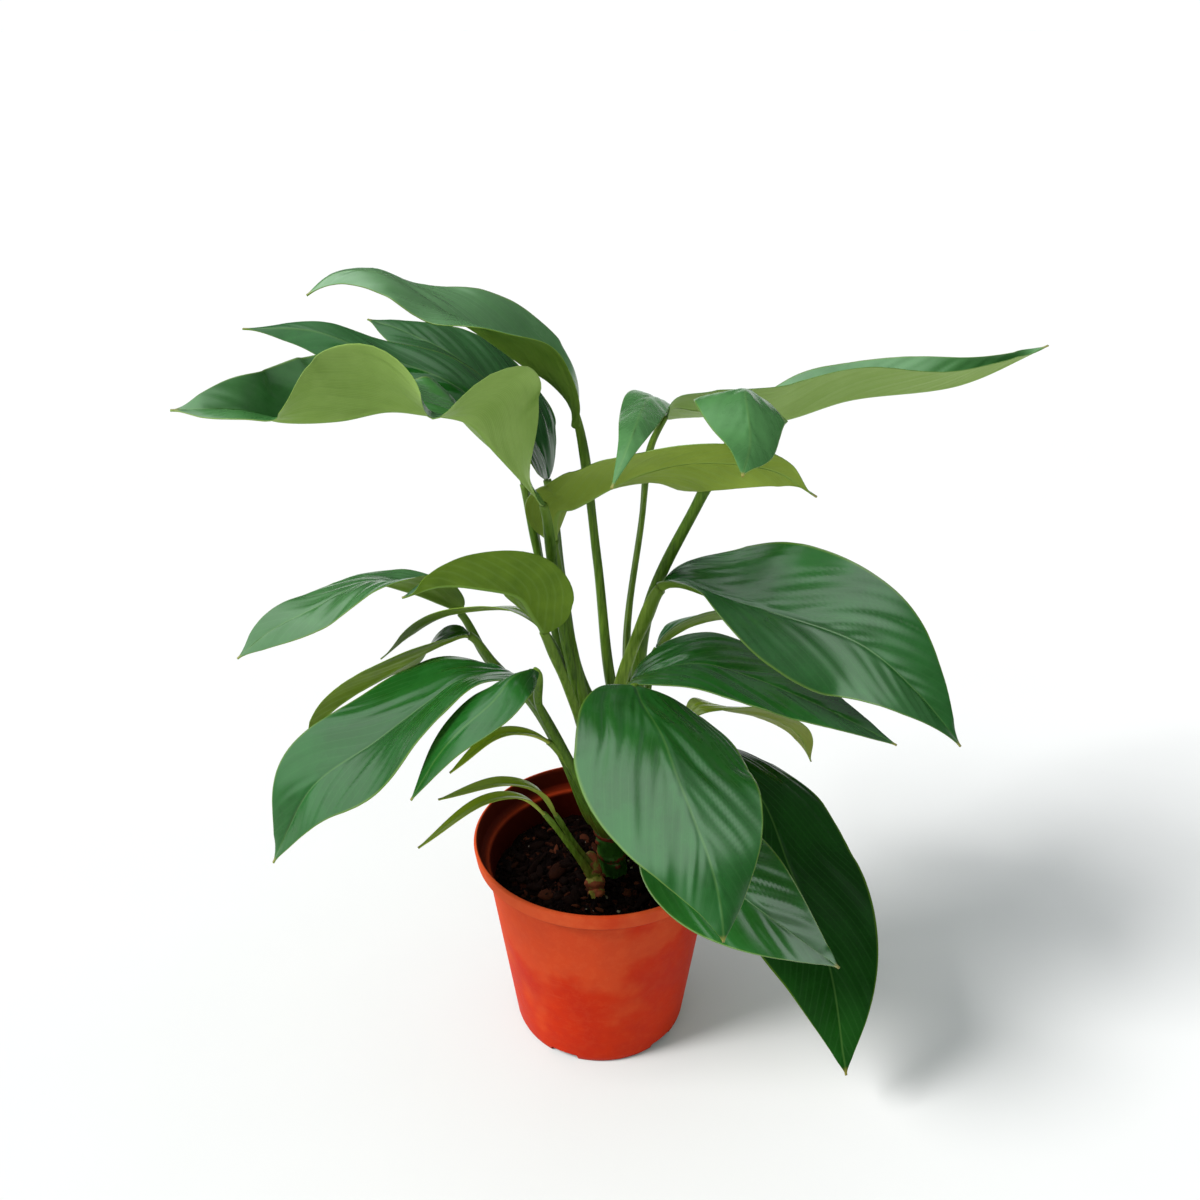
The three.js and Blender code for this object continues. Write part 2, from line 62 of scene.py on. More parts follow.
def add_object(name, data):
    """A new object in the scene that shows a mesh, a camera or a lamp."""
    made = bpy.data.objects.new(name, data)
    bpy.context.scene.collection.objects.link(made)
    return made


def add_camera():
    """A camera at CAMERA_PLACE that looks along +Y, turned down by CAMERA_PITCH degrees."""
    camera = add_object("camera", bpy.data.cameras.new("camera"))
    camera.data.sensor_width, camera.data.lens = SENSOR, LENS
    camera.location = CAMERA_PLACE
    camera.rotation_euler = (np.radians(90.0 - CAMERA_PITCH), 0.0, 0.0)
    bpy.context.scene.camera = camera


add_camera()
print("camera at", CAMERA_PLACE, "looking down", CAMERA_PITCH, "degrees")

# %% [markdown]
# ## The plan of the plant
# The sizes below are the ones the solids were made from. Each leaf starts on the axis of its stem
# at the height foot, runs through the points of its stalk to its knee, and then along its midrib.
# left and right say by how many degrees each half of the blade is raised at equal steps along it.
# Repeating these values here, rather than fitting meshes to the solids, keeps every fine surface on
# its solid, because both come from one formula. No two leaves have the same green, so each row
# ends with the leaf's look. A few looks also hold painted light and shade: top is made paler as a
# painted sheen, the straps' yellow is made lighter as painted light in the shade of the leaves
# above, and back_right and low_right are made darker as painted shade.

# %% Sizes of the stems
SOIL_LEVEL = 82.0
PEG_DEPTH = 16.0
STEMS = {
    "front": dict(foot=(7, -1), top=(0, -3, 146), radius=6.3, internode=13),
    "back": dict(foot=(19, 19), top=(15, 19, 142), radius=6.3, internode=13),
    "shoot": dict(foot=(-1, -19), top=(-5, -9, 101), radius=3.6, internode=6),
}
print("stems:", ", ".join(STEMS))

# %% Sizes of the leaves
BROAD, STRAP = (0.58, 1.08), (0.7, 0.9)
LOOKS = ("young", "yellow", "pale", "gloss", "stalk")


def numbers(text):
    """The numbers in a text."""
    return np.array(text.replace(",", " ").split(), float)


def new_leaf(name, stem, foot, stalk, rib, width, left, right, look, curl=8, size=1.0,
             sweep=0.0, pleat=1.0, ends=BROAD):
    """One leaf's sizes. stalk and rib are points x y z with commas between them, and the knee is
    the stalk's last point. look says from 0 to 1 how young the blade is, how yellow, how pale its
    lower side, how strongly its wax mirrors, and how young its stalk is. curl is how far each half
    bends on its way out, in degrees; size is the thickness of the stalk; sweep draws the margins
    forward; pleat deepens the pads between the veins; ends shapes the base and the tip."""
    return SimpleNamespace(
        name=name, stem=stem, foot=foot, stalk=numbers(stalk).reshape(-1, 3),
        rib=numbers(rib).reshape(-1, 3), width=width, left=numbers(left), right=numbers(right),
        look=dict(zip(LOOKS, numbers(look))), curl=curl, size=size, sweep=sweep, pleat=pleat, ends=ends)


LEAVES = [
    # The upper left group.
    # top's look is paler than its own green: a painted sheen.
    new_leaf("top", "back", 132, "5 18 178, -1 22 237, -10 24 303",
             "-18 14 319, -31 4 331, -48 -5 346, -65 -10 358, -81 -15 369, -96 -20 370, -107 -24 363",
             57, "-40 -10 20 5 -20 -25 -20", "45 45 40 30 10 -5 -10", "1 0 .45 .8 .35", curl=10),
    new_leaf("long_left", "front", 138, "-11 -12 195, -18 -20 242, -22 -28 283",
             "-27 -32 292, -39 -36 308, -48 -42 321, -63 -48 326, -75 -54 329, -91 -62 328, "
             "-109 -70 330, -120 -78 336, -141 -84 338", 62, "-15 0 50 65 10 35 80 70 30 5 -10 -20",
             "5 0 15 50 70 60", ".75 0 .78 .6 .25", sweep=0.4),
    new_leaf("dark_left", "back", 124, "-9 10 185, -16 18 224, -23 30 272",
             "-29 32 291, -43 41 307, -63 48 322, -85 55 331, -102 62 335", 60, "20 15 0 -10 -25",
             "-5 -5 5 10 15", ".26 0 .3 .22 .25", curl=14, pleat=1.8),
    new_leaf("slim_left", "front", 130, "-14 0 189, -23 0 233, -31 -2 282",
             "-37 1 302, -60 8 321, -91 13 332, -115 14 341, -143 14 342", 34, "15 -10 -30 -45 -55 -55",
             "20 15 10 10 10", ".38 0 .4 .22 .25", curl=10, sweep=0.3, pleat=1.5),
    # The middle left group.
    new_leaf("mid_left", "front", 116, "-2 2 111, -18 4 148, -32 5 175, -49 8 193, -62 12 216",
             "-72 10 223, -84 6 230, -99 0 236, -122 -12 229, -138 -20 223, -151 -27 214", 46,
             "50 45 20 0 -20 -40", "30 10 -15 -5 20 40", ".7 0 .4 .5 .4"),
    new_leaf("hook_left", "front", 126, "-10 -16 182, -23 -28 227",
             "-27 -34 238, -32 -42 250, -44 -50 257, -60 -56 261, -74 -62 259", 40, "40 55 70 80 80 70",
             "0 -5 5 10 5 5", ".4 0 .14 .5 .6"),
    new_leaf("sliver_left", "front", 120, "-9 -8 178, -24 -14 221",
             "-35 -12 229, -55 -8 227, -74 -2 219, -98 6 196", 20, "20 30 30 25", "-20 -20 -20 -20",
             ".5 .2 .4 .4 .25", curl=0, size=0.7),
    new_leaf("under_left", "front", 108, "-1 -5 115, -16 -4 151, -30 -5 180, -46 -4 199, -57 -2 212",
             "-66 -5 211, -80 -11 206, -97 -16 197, -113 -22 188, -129 -26 173", 37,
             "25 35 45 55 60 60", "15 -35 -35 -30 -15", ".45 .05 0 .35 .25"),
    # The lower left group.
    new_leaf("low_left", "front", 104, "0 -10 120, -14 -14 157, -25 -24 188, -35 -30 207",
             "-39 -35 212, -56 -43 213, -69 -51 207, -89 -61 195, -114 -69 179, -132 -76 147", 60,
             "10 25 15 -10 -15 -5", "-15 -5 5 20 45 30", ".38 0 .3 .38 .25", curl=14),
    new_leaf("small_left", "front", 112, "-1 -16 128, -16 -25 167, -25 -40 199, -25 -55 224",
             "-33 -67 228, -40 -75 222, -57 -82 208, -72 -88 186", 23, "-40 -10 0 10", "-60 -10 0 0",
             ".38 0 .4 .36 .25", curl=10, size=0.8, sweep=0.1),
    # The straps' yellow look is lighter than their own colour: painted light where they lie in the shade
    # of the leaves above.
    new_leaf("strap_high", "front", 98, "-12 -20 154, -22 -28 174",
             "-32 -34 182, -44 -42 185, -62 -52 174", 8, "20 20 20", "20 20 20",
             ".9 .95 .5 .4 .7", curl=0, size=0.8, ends=STRAP),
    new_leaf("strap_middle", "shoot", 94, "-14 -12 112, -20 -16 127",
             "-28 -22 144, -43 -32 155, -68 -48 158", 9, "20 20 20", "20 20 20",
             ".9 .9 .5 .4 .6", curl=0, size=0.7, ends=STRAP),
    new_leaf("strap_low", "shoot", 90, "-16 -17 114, -25 -22 132",
             "-35 -28 145, -51 -42 152, -76 -60 142", 7, "20 20 20", "20 20 20",
             ".9 .9 .5 .4 .8", curl=0, size=0.7, ends=STRAP),
    # The upper right group.
    new_leaf("arch_right", "front", 134, "-8 -12 190, -15 -11 229, -19 -12 261",
             "-17 -14 275, -11 -18 278, 3 -26 289, 16 -38 300, 35 -52 309, 62 -58 308, 79 -56 297", 40,
             "0 -5 -35 -60 -85 -110", "60 50 40 35 65 95", ".4 .38 .45 .5 .35", curl=6),
    new_leaf("far_right", "back", 136, "12 20 198, 18 18 258, 21 12 293, 27 15 305",
             "30 20 308, 40 28 305, 77 46 294, 112 58 300, 167 76 302, 210 92 316", 48,
             "-50 -15 20 40 80 100", "40 50 60 45 50 45", ".78 0 1 .6 .45", size=0.7),
    new_leaf("nod_left", "back", 126, "13 36 192, 19 42 248, 22 48 277, 27 52 292",
             "28 48 298, 23 34 308, 17 -8 316, 11 -54 318, 4 -82 310", 19, "-25 -20 -20 -20 -10",
             "40 10 -10 -10 -20", ".9 0 .6 .32 .5", curl=14, size=0.6, sweep=0.2),
    new_leaf("nod_front", "back", 140, "22 12 220, 42 10 270, 58 6 308",
             "54 0 317, 56 -14 325, 53 -40 330, 52 -68 322, 47 -92 318", 40, "-25 -35 -35 -35 -25",
             "-20 -20 -10 0 25", ".82 0 .6 .24 .25", curl=14, size=1.15),
    # The middle right group.
    new_leaf("broad_right", "front", 128, "8 2 182, 18 2 215, 26 2 233",
             "33 0 236, 51 -8 233, 71 -18 231, 107 -32 223, 130 -44 206, 147 -52 187", 66,
             "10 30 50 60 50 25", "25 25 -10 -35 -20 5",
             ".46 0 .4 .55 .85", curl=14, size=1.5, pleat=1.25),
    new_leaf("under_right", "front", 118, "6 -8 158, 13 -14 194",
             "20 -18 202, 42 -26 211, 62 -32 208, 88 -40 200, 122 -48 185", 46, "15 10 5 10 10",
             "10 5 0 0 0", ".42 0 .4 .65 .25", curl=10, pleat=1.4),
    # back_right's lower side is made darker than its own colour: painted shade.
    new_leaf("back_right", "back", 118, "20 24 147, 27 30 188",
             "38 36 195, 56 50 194, 77 66 185, 113 82 171", 42, "-25 -20 -25 -20", "55 35 30 30",
             ".4 0 0 .1 .25"),
    new_leaf("side_right", "back", 106, "24 20 127, 41 22 156",
             "47 24 161, 65 30 155, 84 36 147, 99 42 134, 107 46 115", 28, "0 -30 -30 -30",
             "0 35 35 35", ".8 .7 1 .4 .8", curl=4, size=0.8),
    # The front group.
    new_leaf("front", "front", 110, "6 -18 150, 14 -38 207",
             "17 -50 206, 24 -67 202, 29 -84 195, 35 -99 185, 40 -111 176, 44 -120 162, 45 -127 151",
             74, "-20 -25 -20 -5 0 -10", "15 0 -10 -15 -15 -10",
             ".4 0 .4 .54 .25", curl=14, pleat=1.25),
    new_leaf("low_front", "front", 100, "9 -11 122, 18 -21 143",
             "34 -31 134, 44 -49 125, 62 -67 120, 81 -84 115, 96 -97 111", 53, "25 30 40 55 65",
             "10 -10 -25 -25 -20", ".44 0 .4 .62 .25", curl=14, sweep=0.2, pleat=1.4),
    # low_right's green is made darker than its own: painted shade where it faces away from the sun.
    new_leaf("low_right", "back", 100, "27 14 125, 42 25 138",
             "49 25 139, 62 12 138, 76 -8 127, 86 -30 107, 102 -53 74, 110 -76 29", 71,
             "-30 -15 10 35 65", "40 10 -10 -25 -50", ".08 0 .3 0 .25", curl=14, sweep=0.2),
]
print("leaves:", len(LEAVES))

# %% [markdown]
# ## The middle line of a leaf
# A leaf's line has to pass through all of its points without a corner. A polyline would show a kink
# at each point and a Bezier curve would need handles. A centripetal Catmull-Rom curve needs only
# the points, and it never loops where two of them lie close together.

# %% Smooth lines
LINE_STEPS = 60


def distance_along(line):
    """The distance of each point of a line from its start."""
    return np.concatenate([[0.0], np.cumsum(np.linalg.norm(np.diff(line, axis=0), axis=1))])


def smooth_line(points):
    """A curve through the points. Between points 1 and 2 it is a cubic whose slope at each end is
    the divided difference over the neighbours, with the square root of distance as the clock."""
    inner = np.asarray(points, float)
    ends = np.stack([2 * inner[0] - inner[1], 2 * inner[-1] - inner[-2]])
    p = np.concatenate([ends[:1], inner, ends[1:]])
    d = np.sum(np.diff(p, axis=0) ** 2, axis=1)[:, None] ** 0.25
    d0, d1, d2 = d[:-2], d[1:-1], d[2:]
    p0, p1, p2, p3 = p[:-3], p[1:-2], p[2:-1], p[3:]
    out = ((p1 - p0) / d0 - (p2 - p0) / (d0 + d1) + (p2 - p1) / d1) * d1
    back = ((p2 - p1) / d1 - (p3 - p1) / (d1 + d2) + (p3 - p2) / d2) * d1
    cubic = np.stack([p1, out, 3 * (p2 - p1) - 2 * out - back, 2 * (p1 - p2) + out + back])
    w = np.linspace(0.0, 1.0, LINE_STEPS, endpoint=False)
    line = np.einsum("ksc,kw->swc", cubic, np.stack([w ** 0, w, w ** 2, w ** 3]))
    return np.concatenate([line.reshape(-1, 3), inner[-1:]])


print("points on a line through three:", len(smooth_line(np.eye(3))))

# %% Middle lines
def stem_axis(stem):
    """Where a stem's axis leaves the mix, and the way from there to its top."""
    foot = np.array([*stem["foot"], SOIL_LEVEL])
    return foot, np.array(stem["top"]) - foot


def add_line(leaf):
    """The leaf gets its line from the stem's axis to the tip, its run (the distance of each point
    of the line from the start) and its knee (the distance of the knee)."""
    foot, axis = stem_axis(STEMS[leaf.stem])
    start = foot + axis * (leaf.foot - SOIL_LEVEL) / axis[2]
    leaf.line = smooth_line([start, *leaf.stalk, *leaf.rib])
    leaf.run = distance_along(leaf.line)
    leaf.knee = leaf.run[LINE_STEPS * len(leaf.stalk)]


for leaf in LEAVES:
    add_line(leaf)
print("blades:", [int(leaf.run[-1] - leaf.knee) for leaf in LEAVES], "mm long")

# %% Directions and values along a leaf
def unit(vectors):
    """Vectors brought to length 1."""
    return vectors / np.linalg.norm(vectors, axis=-1, keepdims=True)


def leaf_frame(leaf, s):
    """Centre, forward, sideways and upward directions at the distances s. Sideways is level and
    square to the way from knee to tip, then made square to the line itself."""
    slope = np.gradient(leaf.line, leaf.run, axis=0)
    at, ahead = (np.stack([np.interp(s, leaf.run, part[:, k]) for k in range(3)], -1)
                 for part in (leaf.line, slope))
    ahead = unit(ahead)
    way = leaf.rib[-1] - leaf.stalk[-1]
    level = np.array([-way[1], way[0], 0.0]) / np.hypot(way[0], way[1])
    side = unit(level - ahead * (ahead @ level)[:, None])
    return at, ahead, side, np.cross(ahead, side)


def along(values, t):
    """A smooth value at share t of the way along equally spaced values (a cubic through them)."""
    v = np.asarray(values, float)
    last = len(v) - 1
    k = np.clip(np.floor(t * last).astype(int), 0, last - 1)
    a, b, c, d = (v[np.clip(k + n, 0, last)] for n in (-1, 0, 1, 2))
    u = t * last - k
    slope, rise = (c - a) / 2, c - b
    bend = slope + (d - b) / 2 - 2 * rise
    return b + u * (slope + u * (rise - slope - bend + u * bend))


def fan(ways, amounts):
    """Vectors for a grid of points: the way of each row times the amount of each point."""
    return ways[:, None] * amounts[..., None]


print("left half of the first blade, halfway:", along(LEAVES[0].left, np.array([0.5])), "degrees up")

# %% [markdown]
# ## The blade
# A leaf blade is a thin sheet that is stiff along its midrib and folds about it. Each half leaves
# the midrib at its own angle and bends on a circular arc, so its width stays true however it is
# folded. A flat mesh bent by modifiers or by hand could look the same from one side, but it would
# leave the solid that it stands for.

# %% Blade sheet
KNEE_GAP = 0.3
STATION_STEP = ACROSS_STEP = 1.5
CROWDED_ALONG, CROWDED_ACROSS, LEAST_ACROSS = 0.55, 0.5, 9
LEAST_BASE, LEAST_TIP = 1.8, 0.5
STIFF_HALF = 5.0
VEIN_SPACING, VEIN_LEAN = 9.0, 2.1
VEIN_START, OTHER_SIDE = 40.0, 0.43


def half_width(leaf, share):
    """Half the blade's width: a power of the share from the base times a power of the rest, and
    never below a least width."""
    base, tip = leaf.ends
    widest = base / (base + tip)
    shape = (share / widest) ** base * ((1.0 - share) / (1.0 - widest)) ** tip
    least = LEAST_BASE * leaf.size * (1.0 - share) + LEAST_TIP * share
    return np.maximum(leaf.width / 2 * shape, least)


def vein_count(x, y, v):
    """How many side veins lie between the base and a point x along and y across. A vein leaves the
    midrib at a slant and turns forward near the margin: x - lean y (1 + v/4) stays the same on it."""
    return (x - VEIN_LEAN * y * (1.0 + 0.25 * v)) / VEIN_SPACING


def crowded(count, pull):
    """Places from 0 to 1 that crowd at both ends: pull (1 - cos(pi t))/2 + (1 - pull) t."""
    t = np.linspace(0.0, 1.0, count)
    return pull * (0.5 - 0.5 * np.cos(np.pi * t)) + (1.0 - pull) * t


def blade_sheet(leaf):
    """The middle sheet of a blade as a grid of points with their normals, and what is known at each:
    the share along, the signed place v across, millimetres x along and y across, and the vein count.
    A half is an arc from the angle lift down to lift - curl v. Where it is narrow it folds less."""
    start = leaf.knee + KNEE_GAP
    length = leaf.run[-1] - start
    share = crowded(int(length / STATION_STEP), CROWDED_ALONG)
    at, ahead, side, up = leaf_frame(leaf, start + length * share)
    half = half_width(leaf, share)[:, None]
    a = crowded(LEAST_ACROSS + int(leaf.width / 2 / ACROSS_STEP), CROWDED_ACROSS)
    v = np.concatenate([a[:0:-1], -a])
    sign, right = np.sign(v + 1e-9), v <= 0
    curl = np.radians(max(leaf.curl, 1e-4))
    lifts = np.where(right, along(leaf.right, share)[:, None], along(leaf.left, share)[:, None])
    lift = np.radians(np.minimum(half / STIFF_HALF, 1.0) * lifts) + curl / 2
    angle = lift - curl * np.abs(v)
    out, rise = (np.sin(lift) - np.sin(angle)) / curl, (np.cos(angle) - np.cos(lift)) / curl
    y = half * np.abs(v)
    point = (at[:, None] + fan(side, sign * half * out) + fan(up, half * rise)
             + fan(ahead, y * leaf.sweep))
    normal = fan(up, np.cos(angle)) - fan(side, sign * np.sin(angle))
    normal = np.where(np.abs(v)[:, None] < 1e-6, up[:, None], normal)
    share, v, x = np.broadcast_arrays(share[:, None], v, share[:, None] * length)
    count = vein_count(x, y, np.abs(v)) + OTHER_SIDE * right + VEIN_START
    return SimpleNamespace(point=point, normal=normal, share=share, v=v, x=x, y=y, count=count, half=half)


sheets = [blade_sheet(leaf) for leaf in LEAVES]
print("blade grids:", sum(sheet.y.size for sheet in sheets), "points")

# %% [markdown]
# ## What a hand would feel
# A real blade has a groove along its midrib above and a ridge below it, soft pads between the side
# veins, and a margin that waves a little. A displacement modifier could add the pads, but working
# them out from the vein pattern that the colour uses keeps each pad exactly between its veins. A few
# small formulas shape everything that grows: a bell for a swelling, a value kept between 0 and 1 for
# a fade, and smooth random lumps for whatever is uneven.

# %% Number helpers
CELLS = 32


def lumps(place, scale, seed):
    """Smooth random bumps from -1 to 1: random values on a grid with scale cells to the millimetre,
    blended between the eight corners of a cell by 3t^2 - 2t^3, and repeated after CELLS cells."""
    table = np.random.default_rng(seed).uniform(-1.0, 1.0, (CELLS,) * 3)
    cell = np.floor(place * scale).astype(int)
    t = place * scale - cell
    t = t * t * (3.0 - 2.0 * t)
    total = 0.0
    for corner in np.ndindex(2, 2, 2):
        weight = np.prod(np.where(corner, t, 1.0 - t), axis=-1)
        x, y, z = np.moveaxis((cell + corner) % CELLS, -1, 0)
        total = total + weight * table[x, y, z]
    return total


def bell(x):
    """The bell curve exp(-x^2)."""
    return np.exp(-np.square(x))


def kept(x):
    """x, kept between 0 and 1."""
    return np.clip(x, 0.0, 1.0)


print("lumps at three places:", lumps(np.diag([3.0, 4.0, 5.0]), 0.3, 1).round(2))

# %% Blade relief and rings
PAD_HEIGHT, FULL_PADS = 0.50, 18.0
WAVE_HEIGHT, WAVE_LENGTH = 0.45, 8.5
SKIN = 0.26
RIB_BASE, RIB_TIP = 1.15, 0.25
GROOVE, SHOULDERS = 0.20, 0.22


def blade_relief(leaf, sheet, seed):
    """How far the sheet is pushed along its normal: long soft pads that run with the side veins,
    from two sizes of bumps whose cells are drawn out along the vein, and a comb |sin(pi count)|; a
    wave that grows with v^2; and soft lumps. All fade at the base, at the tip and on slim blades."""
    v, right = np.abs(sheet.v), sheet.v <= 0
    side = 17.3 * right
    wide, slim = (lumps(np.stack([sheet.count * often, sheet.y / long + side, side], -1), 1.0, number)
                  for often, long, number in ((0.75, 17.0, seed), (1.9, 11.0, seed + 50)))
    comb = np.abs(np.sin(np.pi * sheet.count)) - 0.6
    inner = kept(v / 0.10) * (1 - 0.7 * v ** 6)
    pads = PAD_HEIGHT * leaf.pleat * (wide + 0.75 * slim + 0.16 * comb) * inner
    wave = WAVE_HEIGHT * np.sin(sheet.x / WAVE_LENGTH + 1.7 * seed + 2.1 * right) * v ** 2
    lump = 0.5 * lumps(sheet.point, 0.055, seed) * v
    ends = kept(sheet.share / 0.08) * kept((1 - sheet.share) / 0.12)
    return kept(sheet.half / FULL_PADS) * ends * (pads + wave + lump)


def blade_rings(leaf, sheet, seed):
    """Closed rings of points round the blade, upper skin from the left margin to the right, then the
    lower skin back. The skins thin out to the margin by 1 - 0.35 v^3; bells over y make a groove
    with shoulders along the midrib above, and a keel below."""
    y, share, v = sheet.y, sheet.share, np.abs(sheet.v)
    moved = sheet.point + sheet.normal * blade_relief(leaf, sheet, seed)[..., None]
    rib = (RIB_BASE * (1 - share) + RIB_TIP * share) * leaf.size
    skin = SKIN * (1 - 0.35 * v ** 3)
    groove = SHOULDERS * bell((y - 2.0) / 1.1) - GROOVE * bell(y / 0.9)
    top = skin + groove * (1 - share) * leaf.size
    low = skin + rib * 1.1 * bell(y / (0.9 + 0.9 * rib))
    above = moved + sheet.normal * top[..., None]
    below = moved - sheet.normal * low[..., None]
    return np.concatenate([above, below[:, ::-1]], axis=1)


print("blade surface: pads", PAD_HEIGHT, "mm, margin wave", WAVE_HEIGHT, "mm")

# %% [markdown]
# ## The stalks
# A stalk of this plant is round below and channelled above. At the stem it widens into a sheath
# whose two thin edges stand up beside the channel, and just below the blade it swells into a knee
# that lets the leaf turn to the light. A curve with a round bevel would give a plain tube, so each
# ring of the stalk is worked out with its channel and its edges.

# %% Stalk surface
STALK_RADII = (4.4, 3.5, 2.8, 2.5, 2.3, 2.2, 2.1, 2.5, 2.0)
STALK_AROUND, STALK_STEP = 28, 1.6
STALK_RIBS, RIB_HEIGHT = 9, 0.018
CHANNEL_DEPTH, CHANNEL_FLAT = 0.30, 0.75
SHEATH_END = 0.55
EDGE_PLACE, EDGE_WIDTH = 0.95, 0.24


def angles(count):
    """Equally spaced angles once round a circle."""
    return 2 * np.pi * np.arange(count) / count


def stalk_rings(leaf):
    """Rings of points up a stalk, and what is known at each. The radius follows STALK_RADII; the
    upper side is flattened, has a channel exp(-(a/0.5)^2) at its middle and two edges beside it that
    fade out up the stalk; STALK_RIBS faint ribs run along it."""
    share = np.linspace(0.0, 1.0, int(leaf.knee / STALK_STEP))
    at, _, side, up = leaf_frame(leaf, leaf.knee * share)
    share = share[:, None]
    turn = angles(STALK_AROUND)
    from_top = np.abs(np.angle(np.exp(1j * (turn - np.pi / 2))))
    sheath = kept(1 - share / SHEATH_END)
    channel = bell(from_top / 0.5) * np.clip((1 - share) / 0.08, 0.15, 1)
    edge = bell((from_top - EDGE_PLACE) / EDGE_WIDTH)
    r = leaf.size * along(STALK_RADII, share) * (1 + RIB_HEIGHT * np.sin(turn * STALK_RIBS + 2.0 * share))
    r = r * (1 - CHANNEL_DEPTH * channel + (0.10 + 0.34 * sheath) * edge)
    rings = (at[:, None] + fan(side, r * np.cos(turn))
             + fan(up, r * np.sin(turn) * np.where(np.sin(turn) > 0, CHANNEL_FLAT, 1.0)))
    full = np.ones_like(r)
    return rings, dict(to_knee=(1 - share) * leaf.knee * full, from_stem=share * leaf.knee * full,
                       channel=channel, edge=edge * sheath)


print("stalk surface:", STALK_AROUND, "points round")

# %% [markdown]
# ## The stems
# Each stem is a pile of short internodes. At every node a leaf once sat, and its scar is a raised
# ring with a thin dark groove below it. The radius along the stem is therefore a sum of bells, one
# for each node, and a few blunt root tips push through the skin just below the rings.

# %% Stem surface
STEM_AROUND, STEM_STEP = 64, 0.35
SWELL_HEIGHT, SWELL_WIDTH = 0.9, 1.7
GROOVE_DEPTH, GROOVE_WIDTH, GROOVE_DROP = 0.45, 0.45, 2.0
TIP_WIDTH, TIP_DROP = 1.5, 4.0
TOP_HEIGHT, UNEVEN = 5.0, 0.22
ROOT_TIPS = ((0, 0.4, 1.5), (0, 2.6, 1.2), (1, 3.7, 1.4), (1, 5.2, 1.6), (2, 4.4, 1.3), (3, 1.2, 1.1))


def stem_rings(stem, seed):
    """Rings of points up a stem: the radius, plus a bell for each node, minus a narrow bell below
    it, plus a round bell for each root tip (node, angle, size), on a slightly uneven skin. The top
    closes as a quarter of an ellipse."""
    foot, axis = stem_axis(stem)
    axis = unit(axis)
    start = foot - axis * PEG_DEPTH
    length = np.linalg.norm(np.array(stem["top"]) - start)
    s = np.linspace(0.0, length, int(length / STEM_STEP))[:, None]
    turn = angles(STEM_AROUND)[None]
    nodes = np.arange(PEG_DEPTH + stem["internode"], length - 4, stem["internode"])
    slant = s + 0.7 * np.cos(turn - seed)
    swell = sum(bell((slant - n) / SWELL_WIDTH) for n in nodes)
    groove = sum(bell((slant - n + GROOVE_DROP) / GROOVE_WIDTH) for n in nodes)
    tips = sum(size * bell(np.hypot(s - nodes[row % len(nodes)] + TIP_DROP,
                                    2 * stem["radius"] * np.sin((turn - angle) / 2)) / TIP_WIDTH)
               for row, angle, size in ROOT_TIPS)
    close = np.sqrt(np.clip(1 - kept((s - length + TOP_HEIGHT) / TOP_HEIGHT) ** 2, 0.02, 1))
    close = close * np.sqrt(np.clip(s / 2.0, 0.5, 1))
    side = unit(np.cross([1.0, 0.0, 0.0], axis))
    ring = np.cos(turn)[..., None] * side + np.sin(turn)[..., None] * np.cross(axis, side)
    middle = start + axis * s[..., None]
    rough = lumps(middle + ring * stem["radius"], 0.45, seed)
    radius = stem["radius"] + SWELL_HEIGHT * swell - GROOVE_DEPTH * groove + tips + UNEVEN * rough
    points = middle + ring * (radius * close)[..., None]
    return points, dict(ring=kept(swell), groove=kept(groove), tip=kept(tips))


print("stem surface:", STEM_AROUND, "points round")

# %% [markdown]
# ## The potting mix
# Potting mix is a bed of crumbs with bark on top. The bed is a height over a round grid: the mound
# of the solid, then lumps of three sizes. The bark is made as separate chips, because a chip has a
# sharp edge and a shadow below it that no height map gives.

# %% Potting mix surface
POT = SimpleNamespace(height=105.0, rim=60.0, collar=8.0, taper=1.1, slope=2.5, body_top=54.4,
                      foot=41.5, heel=3.0, wall=1.8, floor=6.0, recess=4.0)
SOIL_MOUND = 3.0
SOIL_GAP, FLOOR_GAP = 0.3, 0.5
SOIL_AROUND, SOIL_OUT, SOIL_DOWN = 420, 150, 12
SOIL_EDGE, SOIL_TAPER, SOIL_CROWDED = 4.0, 1.6, 0.85


def body_radius(z):
    """Radius of the pot's outer face at a height: a straight taper."""
    return POT.foot + (POT.body_top - POT.foot) * z / (POT.height - POT.collar - POT.slope)


SOIL_RADIUS = body_radius(SOIL_LEVEL) - POT.wall - SOIL_GAP


def soil_height(x, y):
    """Height of the mix at a place: the mound, coarse lumps of 11 mm, lumps of 5 mm and crumbs."""
    place = np.stack([x, y, np.zeros_like(x)], -1)
    share = np.hypot(x, y) / SOIL_RADIUS
    crumb = np.abs(lumps(place, 0.62, 5)) + 0.6 * np.abs(lumps(place, 1.3, 6))
    lump = 1.3 * lumps(place, 0.09, 3) + 0.9 * lumps(place, 0.22, 4)
    return SOIL_LEVEL + SOIL_MOUND * (0.35 - share ** 2) + lump + 1.1 * crumb - 0.6


